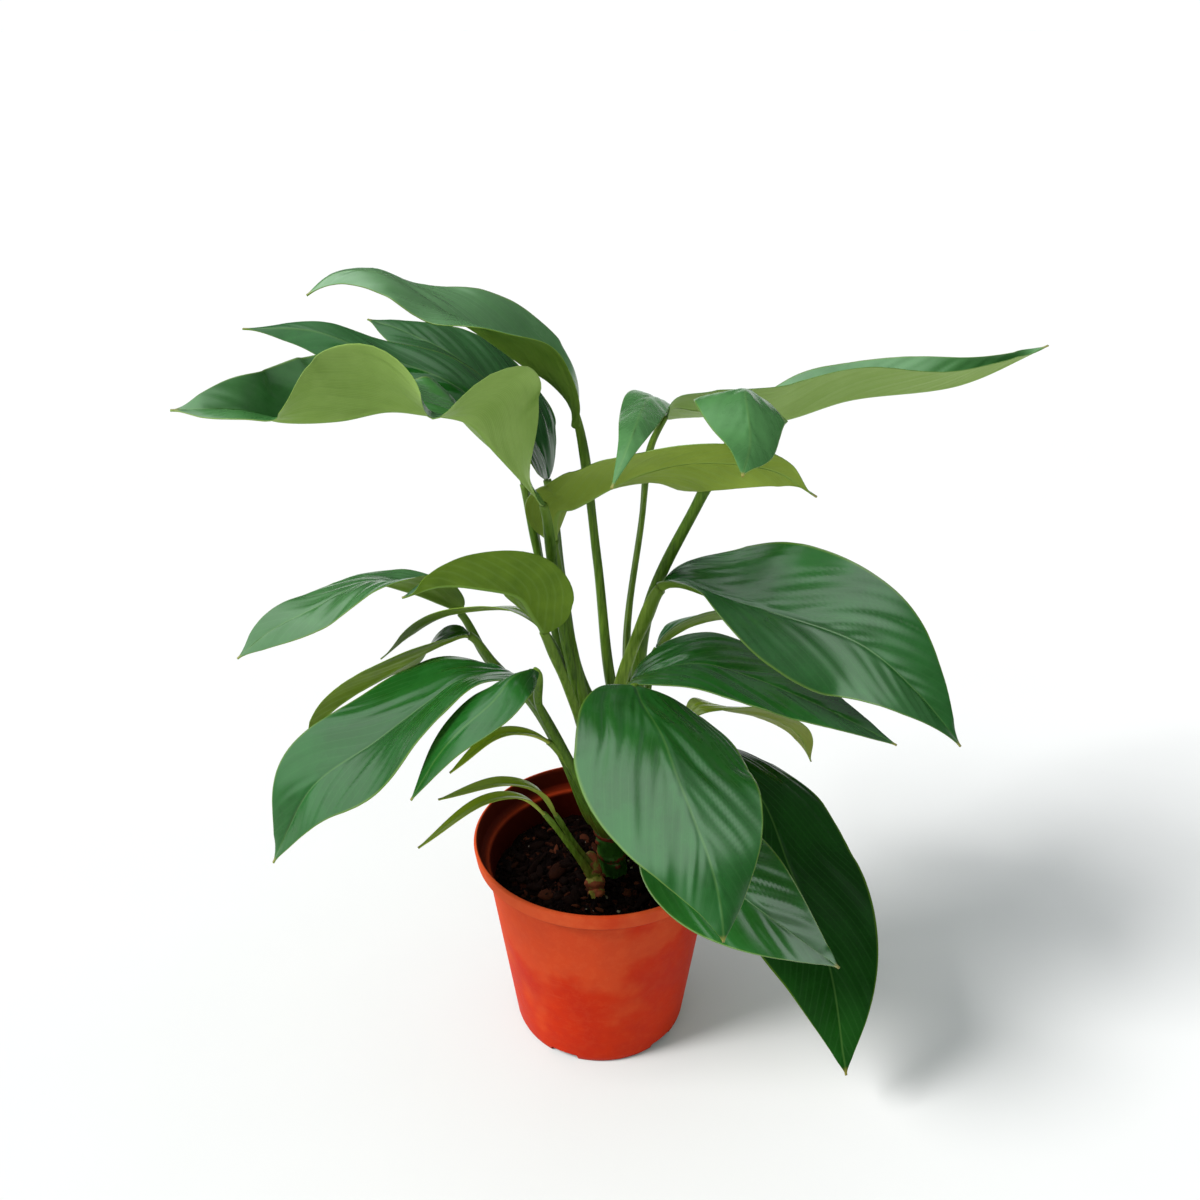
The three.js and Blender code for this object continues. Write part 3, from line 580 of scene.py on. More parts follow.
def soil_rings():
    """Rings from the middle of the top, out to the wall, down it and in to the middle below."""
    turn = angles(SOIL_AROUND)
    out = SOIL_RADIUS * np.linspace(0.0, 1.0, SOIL_OUT)[:, None] ** SOIL_CROWDED
    out[0] = 0.02
    bottom = POT.floor + FLOOR_GAP
    inner = body_radius(bottom) - POT.wall - SOIL_GAP - SOIL_TAPER
    shoulder = SOIL_LEVEL - SOIL_EDGE
    z = np.linspace(shoulder, bottom, SOIL_DOWN)[:, None]
    down = (shoulder - z) / (shoulder - bottom)
    wall = SOIL_RADIUS + (inner - SOIL_RADIUS) * down
    low = inner * np.linspace(0.8, 0.001, 4)[:, None]
    r = np.concatenate([out, wall, low])
    x, y = r * np.cos(turn), r * np.sin(turn)
    top = soil_height(x[:len(out)], y[:len(out)])
    z = np.concatenate([top, z + 0 * turn, bottom + 0 * low * turn])
    return np.stack([x, y, z], -1)


print("mix: outer radius", round(SOIL_RADIUS, 1), "mm")

# %% [markdown]
# ## Bark chips
# Each chip is a bevelled slab with 8 corners, stretched, skewed and laid nearly flat. Particles could
# scatter copies of one chip, but worked out together every chip has a shape of its own. A sunflower
# spiral spaces them evenly without clumps, and each is then moved a little at random.

# %% Bark chips
CHIP_COUNT, CHIP_SIDES = 460, 8
CHIP_LEVELS = np.array([(0.75, -1.0), (1.0, -0.3), (0.95, 0.45), (0.7, 1.0)])
CHIP_REACH = 49.0
GOLDEN_ANGLE = 2.39996
CHIP_TILT = 0.28


def turned(points, a, b, angle):
    """Points whose coordinates a and b are turned by an angle for each chip: a cos - b sin and
    a sin + b cos."""
    c, s = np.cos(angle)[:, None, None], np.sin(angle)[:, None, None]
    out = points.copy()
    out[..., a] = points[..., a] * c - points[..., b] * s
    out[..., b] = points[..., a] * s + points[..., b] * c
    return out


def chip_points():
    """Corners of all chips at once, and a shade for each chip. A chip is a stack of rings of
    CHIP_SIDES corners, as wide and as high as CHIP_LEVELS says, with a random reach at each corner."""
    rng = np.random.default_rng(12)
    n = np.arange(CHIP_COUNT)
    spread = CHIP_REACH * np.sqrt((n + 0.5) / CHIP_COUNT) + rng.normal(0.0, 1.2, CHIP_COUNT)
    turn = n * GOLDEN_ANGLE + rng.normal(0.0, 0.15, CHIP_COUNT)
    size = rng.gamma(3.5, 0.50, CHIP_COUNT) + 0.7
    long, wide = size * rng.uniform(0.9, 1.5, CHIP_COUNT), size * rng.uniform(0.40, 0.75, CHIP_COUNT)
    spread = np.clip(spread, 1.0, CHIP_REACH + 0.5 - 1.15 * long)
    x, y = spread * np.cos(turn), spread * np.sin(turn)
    thick = 0.35 + 0.25 * size * rng.uniform(0.5, 1.0, CHIP_COUNT)
    reach = rng.uniform(0.7, 1.15, (CHIP_COUNT, 1, CHIP_SIDES))
    corner, (widths, heights) = angles(CHIP_SIDES), CHIP_LEVELS.T[..., None]
    u = long[:, None, None] * widths * (reach * np.cos(corner))
    w = wide[:, None, None] * widths * (reach * np.sin(corner))
    h = thick[:, None, None] * heights + 0.12 * u * rng.uniform(-1, 1, (CHIP_COUNT, 1, 1))
    spin = rng.uniform(0, 2 * np.pi, CHIP_COUNT)
    tilt, roll = rng.normal(0, CHIP_TILT, CHIP_COUNT), rng.normal(0, CHIP_TILT, CHIP_COUNT)
    local = turned(turned(turned(np.stack([u, w, h], -1), 0, 2, tilt), 1, 2, roll), 0, 1, spin)
    base = np.stack([x, y, soil_height(x, y) + 0.25 * thick], -1)
    shade = np.broadcast_to(rng.uniform(0.0, 1.0, CHIP_COUNT)[:, None, None], u.shape)
    return local + base[:, None, None], shade


print("bark chips:", CHIP_COUNT)

# %% [markdown]
# ## The pot
# A nursery pot is moulded in one shot, so its wall has one thickness everywhere and its edges are
# all a little round. The profile below is the solid's, with its corners rounded off, and it is
# carried round the axis. Slots in the foot ring let water out; they are made by raising the ring's
# lowest edge between two angles, which keeps the mesh one clean grid. The drain holes are cut.

# %% Profile helpers
def round_corners(profile, reach, steps=5):
    """The profile with each inner corner replaced by a quadratic arc: (1-t)^2 a + 2t(1-t) b + t^2 c,
    where a and c lie up to reach from the corner b."""
    p = np.asarray(profile, float)
    corner = p[1:-1]
    a, c = (corner + way * np.minimum(reach / np.linalg.norm(way, axis=1), 0.45)[:, None]
            for way in (p[:-2] - corner, p[2:] - corner))
    t = np.linspace(0, 1, steps)[:, None, None]
    arcs = (1 - t) ** 2 * a + 2 * t * (1 - t) * corner + t ** 2 * c
    return np.concatenate([p[:1], np.swapaxes(arcs, 0, 1).reshape(-1, 2), p[-1:]])


def fill_in(profile, step):
    """The profile with points added so that none lie further apart than step."""
    run = distance_along(profile)
    at = np.unique(np.concatenate([run, np.arange(0.0, run[-1], step)]).round(4))
    return np.stack([np.interp(at, run, profile[:, k]) for k in range(2)], -1)


print("a square corner, rounded:", round_corners([(0, 0), (1, 0), (1, 1)], 0.3, 3).round(2).tolist())

# %% Pot surface
POT_AROUND, POT_MIDDLE = 400, 0.05
EDGE_ROUND, PROFILE_STEP = 0.7, 2.2
SLOTS = SimpleNamespace(count=5, width=14.0, height=3.2, first=245.0, depth=6.0)


def pot_profile():
    """Radius and height from the middle of the underside, out, up, over the rim and down inside."""
    high, rim, wall, foot = POT.height, POT.rim, POT.wall, POT.foot
    lower = high - POT.collar
    under, collar, skirt = lower - POT.slope, rim - POT.taper, foot - wall - 1
    corners = [(POT_MIDDLE, POT.recess), (skirt, POT.recess), (skirt - 0.4, 0), (foot - 0.8, 0),
               (body_radius(POT.heel), POT.heel), (body_radius(under), under),
               (collar, lower), (rim, high - 0.8), (rim - 0.8, high),
               (rim - wall + 0.4, high), (rim - wall - 0.3, high - 1),
               (collar - wall, lower - 1), (body_radius(under) - wall, under - 1.5),
               (body_radius(POT.floor) - wall, POT.floor + 1.5),
               (body_radius(POT.floor) - wall - 1.5, POT.floor), (POT_MIDDLE, POT.floor)]
    return fill_in(round_corners(corners, EDGE_ROUND), PROFILE_STEP)


def pot_rings():
    """The profile carried round the axis, then the foot ring raised inside each slot."""
    turn = angles(POT_AROUND)
    r, z = pot_profile().T[..., None]
    step = 2 * np.pi / SLOTS.count
    off = np.abs((turn - np.radians(SLOTS.first) + step / 2) % step - step / 2) * POT.foot
    inside = (off < SLOTS.width / 2) & (r > POT.foot - SLOTS.depth)
    z = np.where(inside, np.maximum(z, SLOTS.height), z)
    return np.stack([r * np.cos(turn), r * np.sin(turn), z], -1)


print("pot profile:", len(pot_profile()), "points")

# %% [markdown]
# ## Node helpers
# Materials and node groups are graphs. A graph with short names for the nodes that this plant needs
# keeps each finish short enough to read: one line mixes a colour, scales a mask or reads a number
# from the mesh. A finish is such a graph that ends in the shader of a material.

# %% Graph of nodes
class Graph:
    """A node tree. A value is a socket to wire in, or a plain number or colour to write down."""

    def __init__(self, tree):
        """A graph in a tree of nodes that is there already."""
        self.tree = tree

    def put(self, value, socket):
        """A value wired to a socket or written into it."""
        if isinstance(value, bpy.types.NodeSocket):
            self.tree.links.new(value, socket)
        else:
            socket.default_value = value

    def node(self, kind, inputs=None, **settings):
        """A node of a kind with its settings and the values of its inputs."""
        made = self.tree.nodes.new("ShaderNode" + kind)
        for key, value in settings.items():
            setattr(made, key, value)
        for key, value in (inputs or {}).items():
            self.put(value, made.inputs[key])
        return made

    def math(self, operation, first, *rest):
        """The first value, combined with each of the others in turn, or with 0 where it is alone."""
        for value in rest or [0.0]:
            first = self.node("Math", {0: first, 1: value}, operation=operation).outputs[0]
        return first

    def add(self, *values):
        """The sum of the values."""
        return self.math("ADD", *values)

    def times(self, *values):
        """The product of the values."""
        return self.math("MULTIPLY", *values)

    def ramp(self, value, low, high, to_low=0.0, to_high=1.0):
        """value moved smoothly from the range low..high to the range to_low..to_high."""
        inputs = {0: value, 1: low, 2: high, 3: to_low, 4: to_high}
        return self.node("MapRange", inputs, interpolation_type="SMOOTHSTEP").outputs[0]

    def mix(self, factor, *colours):
        """The first colour turned into the second by a factor from 0 to 1."""
        first, second = ((*c, 1.0) if isinstance(c, tuple) else c for c in colours)
        return self.node("Mix", {0: factor, 6: first, 7: second}, data_type="RGBA").outputs[2]

    def coats(self, colour, *coats):
        """A colour under thin coats: each has a mask, how much of it covers, and its own colour."""
        for mask, cover, tint in coats:
            colour = self.mix(self.times(mask, cover), colour, tint)
        return colour

    def read(self, name):
        """A number that the piece's mesh carries at each vertex."""
        return self.node("Attribute", attribute_name=name).outputs["Fac"]

    def place(self):
        """Where a point is on the object, in metres."""
        return self.node("TexCoord").outputs["Object"]

    def noise(self, place, scale, detail=2.0, rough=0.5):
        """Cloudy noise from about 0 to 1, with scale cells to the metre."""
        inputs = {"Vector": place, "Scale": scale, "Detail": detail, "Roughness": rough}
        return self.node("TexNoise", inputs).outputs[0]

    def group(self, group, **inputs):
        """The outputs of a node group that runs with its own values here."""
        return self.node("Group", inputs, node_tree=group).outputs


print("a graph can", ", ".join(name for name in vars(Graph) if name[0] != "_"))

# %% Finishes and node groups
class Finish(Graph):
    """The graph of a new material that ends in its Principled shader, the skin."""

    def __init__(self, name):
        """A new material and the shader that it comes with."""
        self.material = bpy.data.materials.new(name)
        self.material.use_nodes = True
        super().__init__(self.material.node_tree)
        self.skin = self.tree.nodes["Principled BSDF"]

    def end(self, colour, rough, mirror, relief=None, strength=1.0, depth=0.001):
        """The material with its colour, its roughness and how strongly it mirrors. relief is a
        height from 0 to 1 that becomes bumps of a strength and a depth in metres."""
        self.put(colour, self.skin.inputs["Base Color"])
        self.put(rough, self.skin.inputs["Roughness"])
        self.skin.inputs["Specular IOR Level"].default_value = mirror
        if relief is not None:
            bump = self.node("Bump", {"Height": relief, "Strength": strength, "Distance": depth})
            self.put(bump.outputs[0], self.skin.inputs["Normal"])
        return self.material


def open_group(name, inputs, outputs):
    """The graph of a new node group, its input node and its output node. inputs gives each input's
    kind, and outputs names the numbers that it puts out."""
    graph = Graph(bpy.data.node_groups.new(name, "ShaderNodeTree"))
    sockets = [(label, "INPUT", kind) for label, kind in inputs.items()]
    for label, way, kind in sockets + [(label, "OUTPUT", "Float") for label in outputs]:
        graph.tree.interface.new_socket(label, in_out=way, socket_type="NodeSocket" + kind)
    return graph, graph.tree.nodes.new("NodeGroupInput"), graph.tree.nodes.new("NodeGroupOutput")


print("a finish can also", ", ".join(name for name in vars(Finish) if name[0] != "_"))

# %% [markdown]
# ## Shared effects
# Two effects turn up in several finishes. Mottling is the cloudy change of colour that any grown or
# worn surface has: three sizes of noise, added. The vein pattern turns the numbers that the blade
# mesh carries into masks for the midrib, the side veins and the margin. Both are node groups, so
# each material can place them with its own values.

# %% Mottling and vein groups
FINE_VEINS = 5.0


def make_mottling():
    """Fac = 0.57 coarse noise + 0.29 finer noise + 0.14 grain, spread to run from 0 to 1."""
    g, entry, leave = open_group("mottling", dict(Vector="Vector", Scale="Float"), ["Fac"])
    place, scale = entry.outputs["Vector"], entry.outputs["Scale"]
    total = g.add(*(g.times(g.noise(place, g.times(scale, finer)), weight)
                    for finer, weight in ((1.0, 0.57), (3.7, 0.29), (13.0, 0.14))))
    g.put(g.ramp(total, 0.32, 0.68), leave.inputs["Fac"])
    return g.tree


def make_veins():
    """Masks from the blade's own numbers: the midrib fades out over 0.15 to 0.75 mm beside its line,
    a side vein lies where the vein count passes a whole number, a fine vein where FINE_VEINS times
    the count does, and the margin is the last twentieth of the way across."""
    g, entry, leave = open_group("veins", dict(Width="Float"), ["Midrib", "Side", "Fine", "Margin"])
    count, across = g.read("vein_count"), g.math("ABSOLUTE", g.read("across"))
    side = g.ramp(g.math("PINGPONG", count, 0.5), 0.0, entry.outputs["Width"], 1.0, 0.0)
    fine = g.ramp(g.math("PINGPONG", g.times(count, FINE_VEINS), 0.5), 0.0, 0.5, 1.0, 0.0)
    shown = g.ramp(across, 0.02, 0.12)
    masks = dict(Midrib=g.ramp(g.read("across_mm"), 0.15, 0.75, 1.0, 0.0),
                 Side=g.times(side, shown, g.ramp(across, 0.80, 0.99, 1.0, 0.0)),
                 Fine=g.times(fine, shown), Margin=g.ramp(across, 0.955, 0.995))
    for name, mask in masks.items():
        g.put(mask, leave.inputs[name])
    return g.tree


mottling, veins = make_mottling(), make_veins()
print("groups:", mottling.name, "and", veins.name)

# %% [markdown]
# ## Leaf finishes
# The upper skin is deep green under a clear waxy layer. Its colour comes from the flesh below, and
# its grey sheen from the wax, which mirrors the sky softly. The shader's coat is that wax, and each
# blade sets how much of it there is. The lower skin has no such wax: it is yellow green and matte,
# with faint veins. One shader with both would need to know which way it faces, so each skin has a
# finish of its own. The mesh of each blade carries the four numbers of its look to both.

# %% Upper leaf skin
COAT_ROUGHNESS, COAT_IOR = 0.27, 1.72
YOUNG_MIDDLE = 0.4


def mottled(g, scale):
    """The mottling on the object's own place, with scale clouds to the metre."""
    return g.group(mottling, Vector=g.place(), Scale=scale)["Fac"]


def three_tones(g, place, cloud, *tones):
    """A colour that runs through three tones as place goes 0, YOUNG_MIDDLE, 1. Each tone is a pair
    of colours, and wanders between them with the mottling."""
    first, second, third = (g.mix(cloud, *pair) for pair in tones)
    colour = g.mix(g.ramp(place, 0.0, YOUNG_MIDDLE), first, second)
    return g.mix(g.ramp(place, YOUNG_MIDDLE, 1.0), colour, third)


def make_upper_skin():
    """Deep green, lighter on young leaves, with a thin pale midrib and margin and a brown tip, under
    a coat of wax."""
    g = Finish("leaf_upper_skin")
    cloud, vein = mottled(g, 24.0), g.group(veins, Width=0.20)
    colour = three_tones(g, g.read("young"), cloud,
                         ((0.0022, 0.026, 0.0008), (0.0045, 0.046, 0.0020)),
                         ((0.0060, 0.064, 0.0060), (0.0120, 0.105, 0.0150)),
                         ((0.0450, 0.170, 0.0380), (0.0850, 0.250, 0.0720)))
    colour = g.coats(colour,
                     # the straps' own yellow, made lighter: partly painted light where they lie in shade
                     (g.read("yellow"), 1.0, (0.400, 0.500, 0.030)),
                     (vein["Fine"], 0.08, (0.040, 0.160, 0.030)),
                     (vein["Side"], 0.08, (0.050, 0.170, 0.040)),
                     (vein["Midrib"], 0.26, (0.120, 0.260, 0.060)),
                     (vein["Margin"], 0.65, (0.130, 0.240, 0.025)),
                     (g.ramp(g.read("share"), 0.975, 0.995), 0.7, (0.320, 0.260, 0.050)))
    rough = g.add(g.ramp(cloud, 0.0, 1.0, 0.22, 0.32), g.times(vein["Side"], 0.06))
    grain = g.noise(g.place(), 900.0)
    g.skin.inputs["Coat Roughness"].default_value = COAT_ROUGHNESS
    g.skin.inputs["Coat IOR"].default_value = COAT_IOR
    g.put(g.read("gloss"), g.skin.inputs["Coat Weight"])
    return g.end(colour, rough, 0.05, g.add(g.times(vein["Fine"], -0.16), g.times(grain, 0.20)),
                 0.20, 0.0002)


upper_skin = make_upper_skin()
print("upper skin:", len(upper_skin.node_tree.nodes), "nodes")

# %% Lower leaf skin
def make_lower_skin():
    """Yellow green and matte, from olive to pale, with faint fine veins and a lighter keel."""
    g = Finish("leaf_lower_skin")
    cloud, vein = mottled(g, 15.0), g.group(veins, Width=0.24)
    colour = three_tones(g, g.read("pale"), cloud,
                         ((0.038, 0.090, 0.0015), (0.150, 0.250, 0.0110)),
                         ((0.105, 0.210, 0.0120), (0.220, 0.350, 0.0500)),
                         ((0.260, 0.400, 0.0900), (0.340, 0.490, 0.1500)))
    colour = g.coats(colour,
                     (g.read("yellow"), 1.0, (0.350, 0.400, 0.060)),
                     (vein["Fine"], 0.20, (0.100, 0.200, 0.020)),
                     (vein["Side"], 0.16, (0.220, 0.350, 0.080)),
                     (vein["Midrib"], 0.7, (0.230, 0.380, 0.070)))
    relief = g.add(vein["Side"], g.times(vein["Fine"], 0.4))
    return g.end(colour, g.ramp(cloud, 0.0, 1.0, 0.50, 0.62), 0.14, relief, 0.3, 0.0002)


lower_skin = make_lower_skin()
print("lower skin:", len(lower_skin.node_tree.nodes), "nodes")

# %% [markdown]
# ## Stalk and stem finishes
# A stalk is smooth and light to mid green, streaked along its length by its fibres, paler at the
# knee, and dry and brown along the edges of its sheath. A stem is tougher: greyed green between the
# rings, red-brown at them. An image could be wrapped round each, but noise drawn out along the plant
# gives fibres without a seam.

# %% Stalk finish
def streaks(g, level, upright, detail=3.0, rough=0.6):
    """Noise with its own cells to the metre in level and upright directions. Few upright cells make
    fibres along the plant's height, and few level ones make bands round the pot."""
    drawn = g.node("Mapping", {"Vector": g.place(), "Scale": (level, level, upright)})
    return g.noise(drawn.outputs[0], 1.0, detail, rough)


def make_stalk_skin():
    """Green with fibres, paler at the knee and darker at the foot, brown at the sheath's edges."""
    g = Finish("stalk_skin")
    fibre, cloud = g.ramp(streaks(g, 900.0, 60.0), 0.30, 0.70), mottled(g, 40.0)
    colour = g.mix(g.read("young"),
                   g.mix(fibre, (0.012, 0.058, 0.0006), (0.046, 0.134, 0.0030)),
                   g.mix(fibre, (0.120, 0.220, 0.008), (0.270, 0.400, 0.050)))
    dry = g.times(g.read("edge"), g.ramp(cloud, 0.30, 0.62))
    foot = g.times(g.ramp(g.read("from_stem"), 8.0, 22.0, 1.0, 0.0), cloud)
    colour = g.coats(colour,
                     (cloud, 0.35, (0.075, 0.150, 0.012)),
                     (g.ramp(g.read("to_knee"), 3.0, 13.0, 1.0, 0.0), 0.65, (0.150, 0.250, 0.030)),
                     (g.read("channel"), 0.25, (0.016, 0.060, 0.002)),
                     (dry, 0.75, (0.080, 0.026, 0.014)),
                     (foot, 0.6, (0.160, 0.040, 0.014)))
    return g.end(colour, g.ramp(fibre, 0.2, 0.8, 0.38, 0.55), 0.22, fibre, 0.35, 0.0003)


stalk_skin = make_stalk_skin()
print("stalk finish:", len(stalk_skin.node_tree.nodes), "nodes")

# %% Stem finishes
def make_stem_skin(name, green, bark, bare):
    """Green between the rings and bark-brown at them and in their grooves, flecked all over; bare is
    how far the bark spreads beyond them."""
    g = Finish(name)

    def shades(mask, tone, *shares):
        """A tone that wanders between a darker and a lighter share of itself."""
        return g.mix(mask, *(tuple(c * share for c in tone) for share in shares))

    fibre, cloud = streaks(g, 700.0, 120.0), mottled(g, 90.0)
    plain, woody = shades(fibre, green, 0.6, 1.3), shades(cloud, bark, 0.5, 1.4)
    at_ring = g.math("MAXIMUM", g.read("ring"), g.read("groove"), g.read("tip"))
    patch = g.ramp(g.add(cloud, g.times(at_ring, 0.55)), 0.75 - bare, 0.95 - bare)
    return g.end(g.mix(patch, plain, woody), g.ramp(patch, 0.0, 1.0, 0.42, 0.75), 0.2,
                 g.add(fibre, g.times(cloud, 0.8)), 0.6, 0.0006)


stem_skin = make_stem_skin("stem_skin", (0.030, 0.110, 0.012), (0.170, 0.026, 0.012), 0.05)
shoot_skin = make_stem_skin("shoot_skin", (0.290, 0.260, 0.045), (0.330, 0.080, 0.036), 0.25)
print("stem finishes:", stem_skin.name, "and", shoot_skin.name)

# %% [markdown]
# ## Finishes of the mix, the bark and the pot
# Damp mix is nearly black, and only its crumbs and a few pale specks show. Most bark is as dark,
# and a few drier chips are red-brown. The pot is terracotta-coloured plastic: even in colour but
# never perfectly clean, so it is paler in clouds, dusty on its collar and faintly scuffed round its
# wall. It is also painted lighter up the wall and to the left, a painted highlight where the sun
# falls, and painted dark on its inner wall, a painted shade. A plain colour would do for new
# plastic, and would look like a drawing here.

# %% Mix and bark finishes
def make_mix():
    """Near-black crumbs with brown ones among them and sparse pale specks."""
    g = Finish("potting_mix")
    cloud = mottled(g, 130.0)
    cells = g.node("TexVoronoi", {"Vector": g.place(), "Scale": 420.0}).outputs
    shade = g.node("SeparateColor", {0: cells["Color"]}).outputs
    speck = g.times(g.ramp(shade[1], 0.965, 0.975), g.ramp(cells["Distance"], 0.25, 0.42, 1.0, 0.0))
    colour = g.coats(g.mix(cloud, (0.0012, 0.0006, 0.0006), (0.0060, 0.0024, 0.0018)),
                     (g.ramp(shade[0], 0.80, 0.88), 0.75, (0.040, 0.011, 0.006)),
                     (speck, 1.0, (0.32, 0.27, 0.22)))
    return g.end(colour, g.ramp(cloud, 0.0, 1.0, 0.65, 0.95), 0.03,
                 g.add(cloud, g.times(cells["Distance"], -0.8)), 0.9, 0.0012)


def make_bark():
    """Chips with a fine grain: nearly black with damp, and red-brown where their shade is high."""
    g = Finish("bark_chip")
    fibre = streaks(g, 500.0, 500.0)
    colour = g.mix(g.ramp(g.read("shade"), 0.88, 1.0),
                   g.mix(fibre, (0.0015, 0.0007, 0.0006), (0.0080, 0.0030, 0.0020)),
                   g.mix(fibre, (0.050, 0.012, 0.006), (0.140, 0.040, 0.020)))
    return g.end(colour, g.ramp(fibre, 0.2, 0.8, 0.60, 0.90), 0.03, fibre, 0.7, 0.0006)


mix_finish, bark_finish = make_mix(), make_bark()
print("mix and bark finishes:", mix_finish.name, "and", bark_finish.name)

# %% Pot finish
WALL_SLOPE = 0.1365


def make_pot_plastic():
    """Terracotta plastic. A pale coat of noise lightens it in patches, the collar and a fine grain
    make it dusty, and scuffs are noise drawn out round the pot. The pale coat also rises up the
    wall and to the left, a painted highlight where the sun falls on the pot. The inner wall and
    the inside of the rim, inside of the outer face, are painted dark: a painted shade. Light that
    the pot throws on the floor is duller than the pot, because the photograph is a cut-out on
    plain white."""
    g = Finish("pot_plastic")
    cloud, fine = mottled(g, 30.0), mottled(g, 240.0)
    x, y, height = g.node("SeparateXYZ", {0: g.place()}).outputs
    # Noise patches are real fading; the rise up the wall and to the left is a painted highlight where the
    # sun falls.
    faded_and_lit = g.add(g.noise(g.place(), 26.0, 3.0, 0.55), g.ramp(height, 0.015, 0.095, -0.16, 0.10),
                  g.ramp(x, -0.045, 0.045, 0.09, -0.07))
    dust_and_highlight = g.add(g.times(g.ramp(faded_and_lit, 0.43, 0.60), 0.32),
                 g.times(g.ramp(height, 0.0945, 0.0985), 0.20),
                 g.times(g.ramp(fine, 0.45, 0.85), 0.07))
    scuff = g.ramp(streaks(g, 30.0, 900.0, 4.0, 0.7), 0.60, 0.72)
    flat = g.node("CombineXYZ", {0: x, 1: y}).outputs[0]
    radius = g.node("VectorMath", {0: flat}, operation="LENGTH").outputs["Value"]
    outer = g.add(g.times(height, WALL_SLOPE), POT.foot * MM)
    above_wall = g.ramp(height, 0.092, 0.0955)
    # Painted shade: the inner wall and the inside of the rim are darkened as if in shade.
    shaded_inside = g.times(g.ramp(g.math("SUBTRACT", outer, radius), 0.0004, 0.0012),
                     g.math("SUBTRACT", 1.0, above_wall))
    shaded_lip = g.times(g.ramp(radius, 0.0584, 0.0590, 1.0, 0.0), above_wall)
    colour = g.coats(g.mix(cloud, (0.480, 0.017, 0.0004), (0.560, 0.027, 0.0010)),
                     # painted highlight together with real dustiness: lighter up the wall, to the left
                     # and on the collar
                     (dust_and_highlight, 1.0, (0.680, 0.135, 0.042)),
                     (scuff, 0.16, (0.600, 0.100, 0.030)),
                     # painted shade on the inner wall and inside the rim
                     (g.math("MAXIMUM", shaded_inside, shaded_lip), g.ramp(height, 0.080, 0.1046, 1.0, 0.90),
                      (0.060, 0.0035, 0.0010)),
                     (g.node("LightPath").outputs["Is Diffuse Ray"], 0.8, (0.160, 0.110, 0.100)))
    rough = g.add(g.ramp(cloud, 0.0, 1.0, 0.48, 0.58), g.times(dust_and_highlight, 0.4))
    return g.end(colour, rough, 0.06, g.add(fine, g.times(scuff, 0.5)), 0.18, 0.0003)


pot_finish = make_pot_plastic()
print("finishes:", len(bpy.data.materials))

# %% [markdown]
# ## From surface to mesh
# Now every surface becomes a mesh. Each is a grid of points: one direction runs along the piece and
# the other round it, so a leaf, a stalk, a stem, a chip and the pot all close the same way. The grid
# wraps round, and a strip of faces closes each end. The alternative, modelling with extrusions and
# merges, leaves no formula to change later.

# %% Faces
def ring_faces(count, around):
    """Quads between rings of points: (i,j), (i,j+1), (i+1,j+1), (i+1,j), wrapped round in j, and a
    strip across each end that joins the points j, j+1 with their partners on the other side."""
    i, j = np.meshgrid(np.arange(count - 1), np.arange(around), indexing="ij")
    k = (j + 1) % around
    sides = np.stack([i * around + j, i * around + k, (i + 1) * around + k, (i + 1) * around + j], -1)
    a = np.arange(around // 2 - 1)
    strip = np.stack([a, a + 1, around - 2 - a, around - 1 - a], -1)
    last = (count - 1) * around
    return np.concatenate([sides.reshape(-1, 4), strip[:, ::-1], last + strip])


def many_faces(faces, count, size):
    """The faces of one shape with size points, repeated for count shapes that follow each other."""
    return (faces + size * np.arange(count)[:, None, None]).reshape(-1, 4)


print("faces on two rings of six points:", len(ring_faces(2, 6)))

# %% Meshes and pieces
def add_mesh(name, points, faces):
    """A mesh object from points in millimetres."""
    mesh = bpy.data.meshes.new(name)
    mesh.from_pydata((points.reshape(-1, 3) * MM).tolist(), [], faces.tolist())
    return add_object(name, mesh)


def add_piece(name, rings, materials, replaced=(), values=None, uv=None, looks=None, faces=None):
    """A piece with smooth faces from rings of points. values are numbers for each vertex, uv is a
    pair for each vertex, looks picks a material for each face, and faces are ring_faces if not given."""
    piece = add_mesh(name, rings, ring_faces(*rings.shape[:2]) if faces is None else faces)
    mesh = piece.data
    for key, amounts in (values or {}).items():
        layer = mesh.attributes.new(key, "FLOAT", "POINT")
        layer.data.foreach_set("value", np.asarray(amounts, np.float32).ravel())
    if uv is not None:
        corners = np.empty(len(mesh.loops), np.int32)
        mesh.loops.foreach_get("vertex_index", corners)
        layer = mesh.uv_layers.new(name="surface")
        layer.data.foreach_set("uv", uv.astype(np.float32).reshape(-1, 2)[corners].ravel())
    for material in materials:
        mesh.materials.append(material)
    if looks is not None:
        mesh.polygons.foreach_set("material_index", looks.astype(np.int32))
    mesh.polygons.foreach_set("use_smooth", np.ones(len(mesh.polygons), bool))
    mesh.update()
    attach(piece, "root")
    if replaced:
        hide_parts(*replaced)
    return piece


print("meshes before the pieces:", len(bpy.data.meshes))

# %% [markdown]
# ## The pieces
# A new piece rides on the plant's one body and stands for its solid, which is hidden. Only the
# loose bark stands for no solid: the solids leave such crumbs out.

# %% Make the leaves
FIRST_SEED = 11


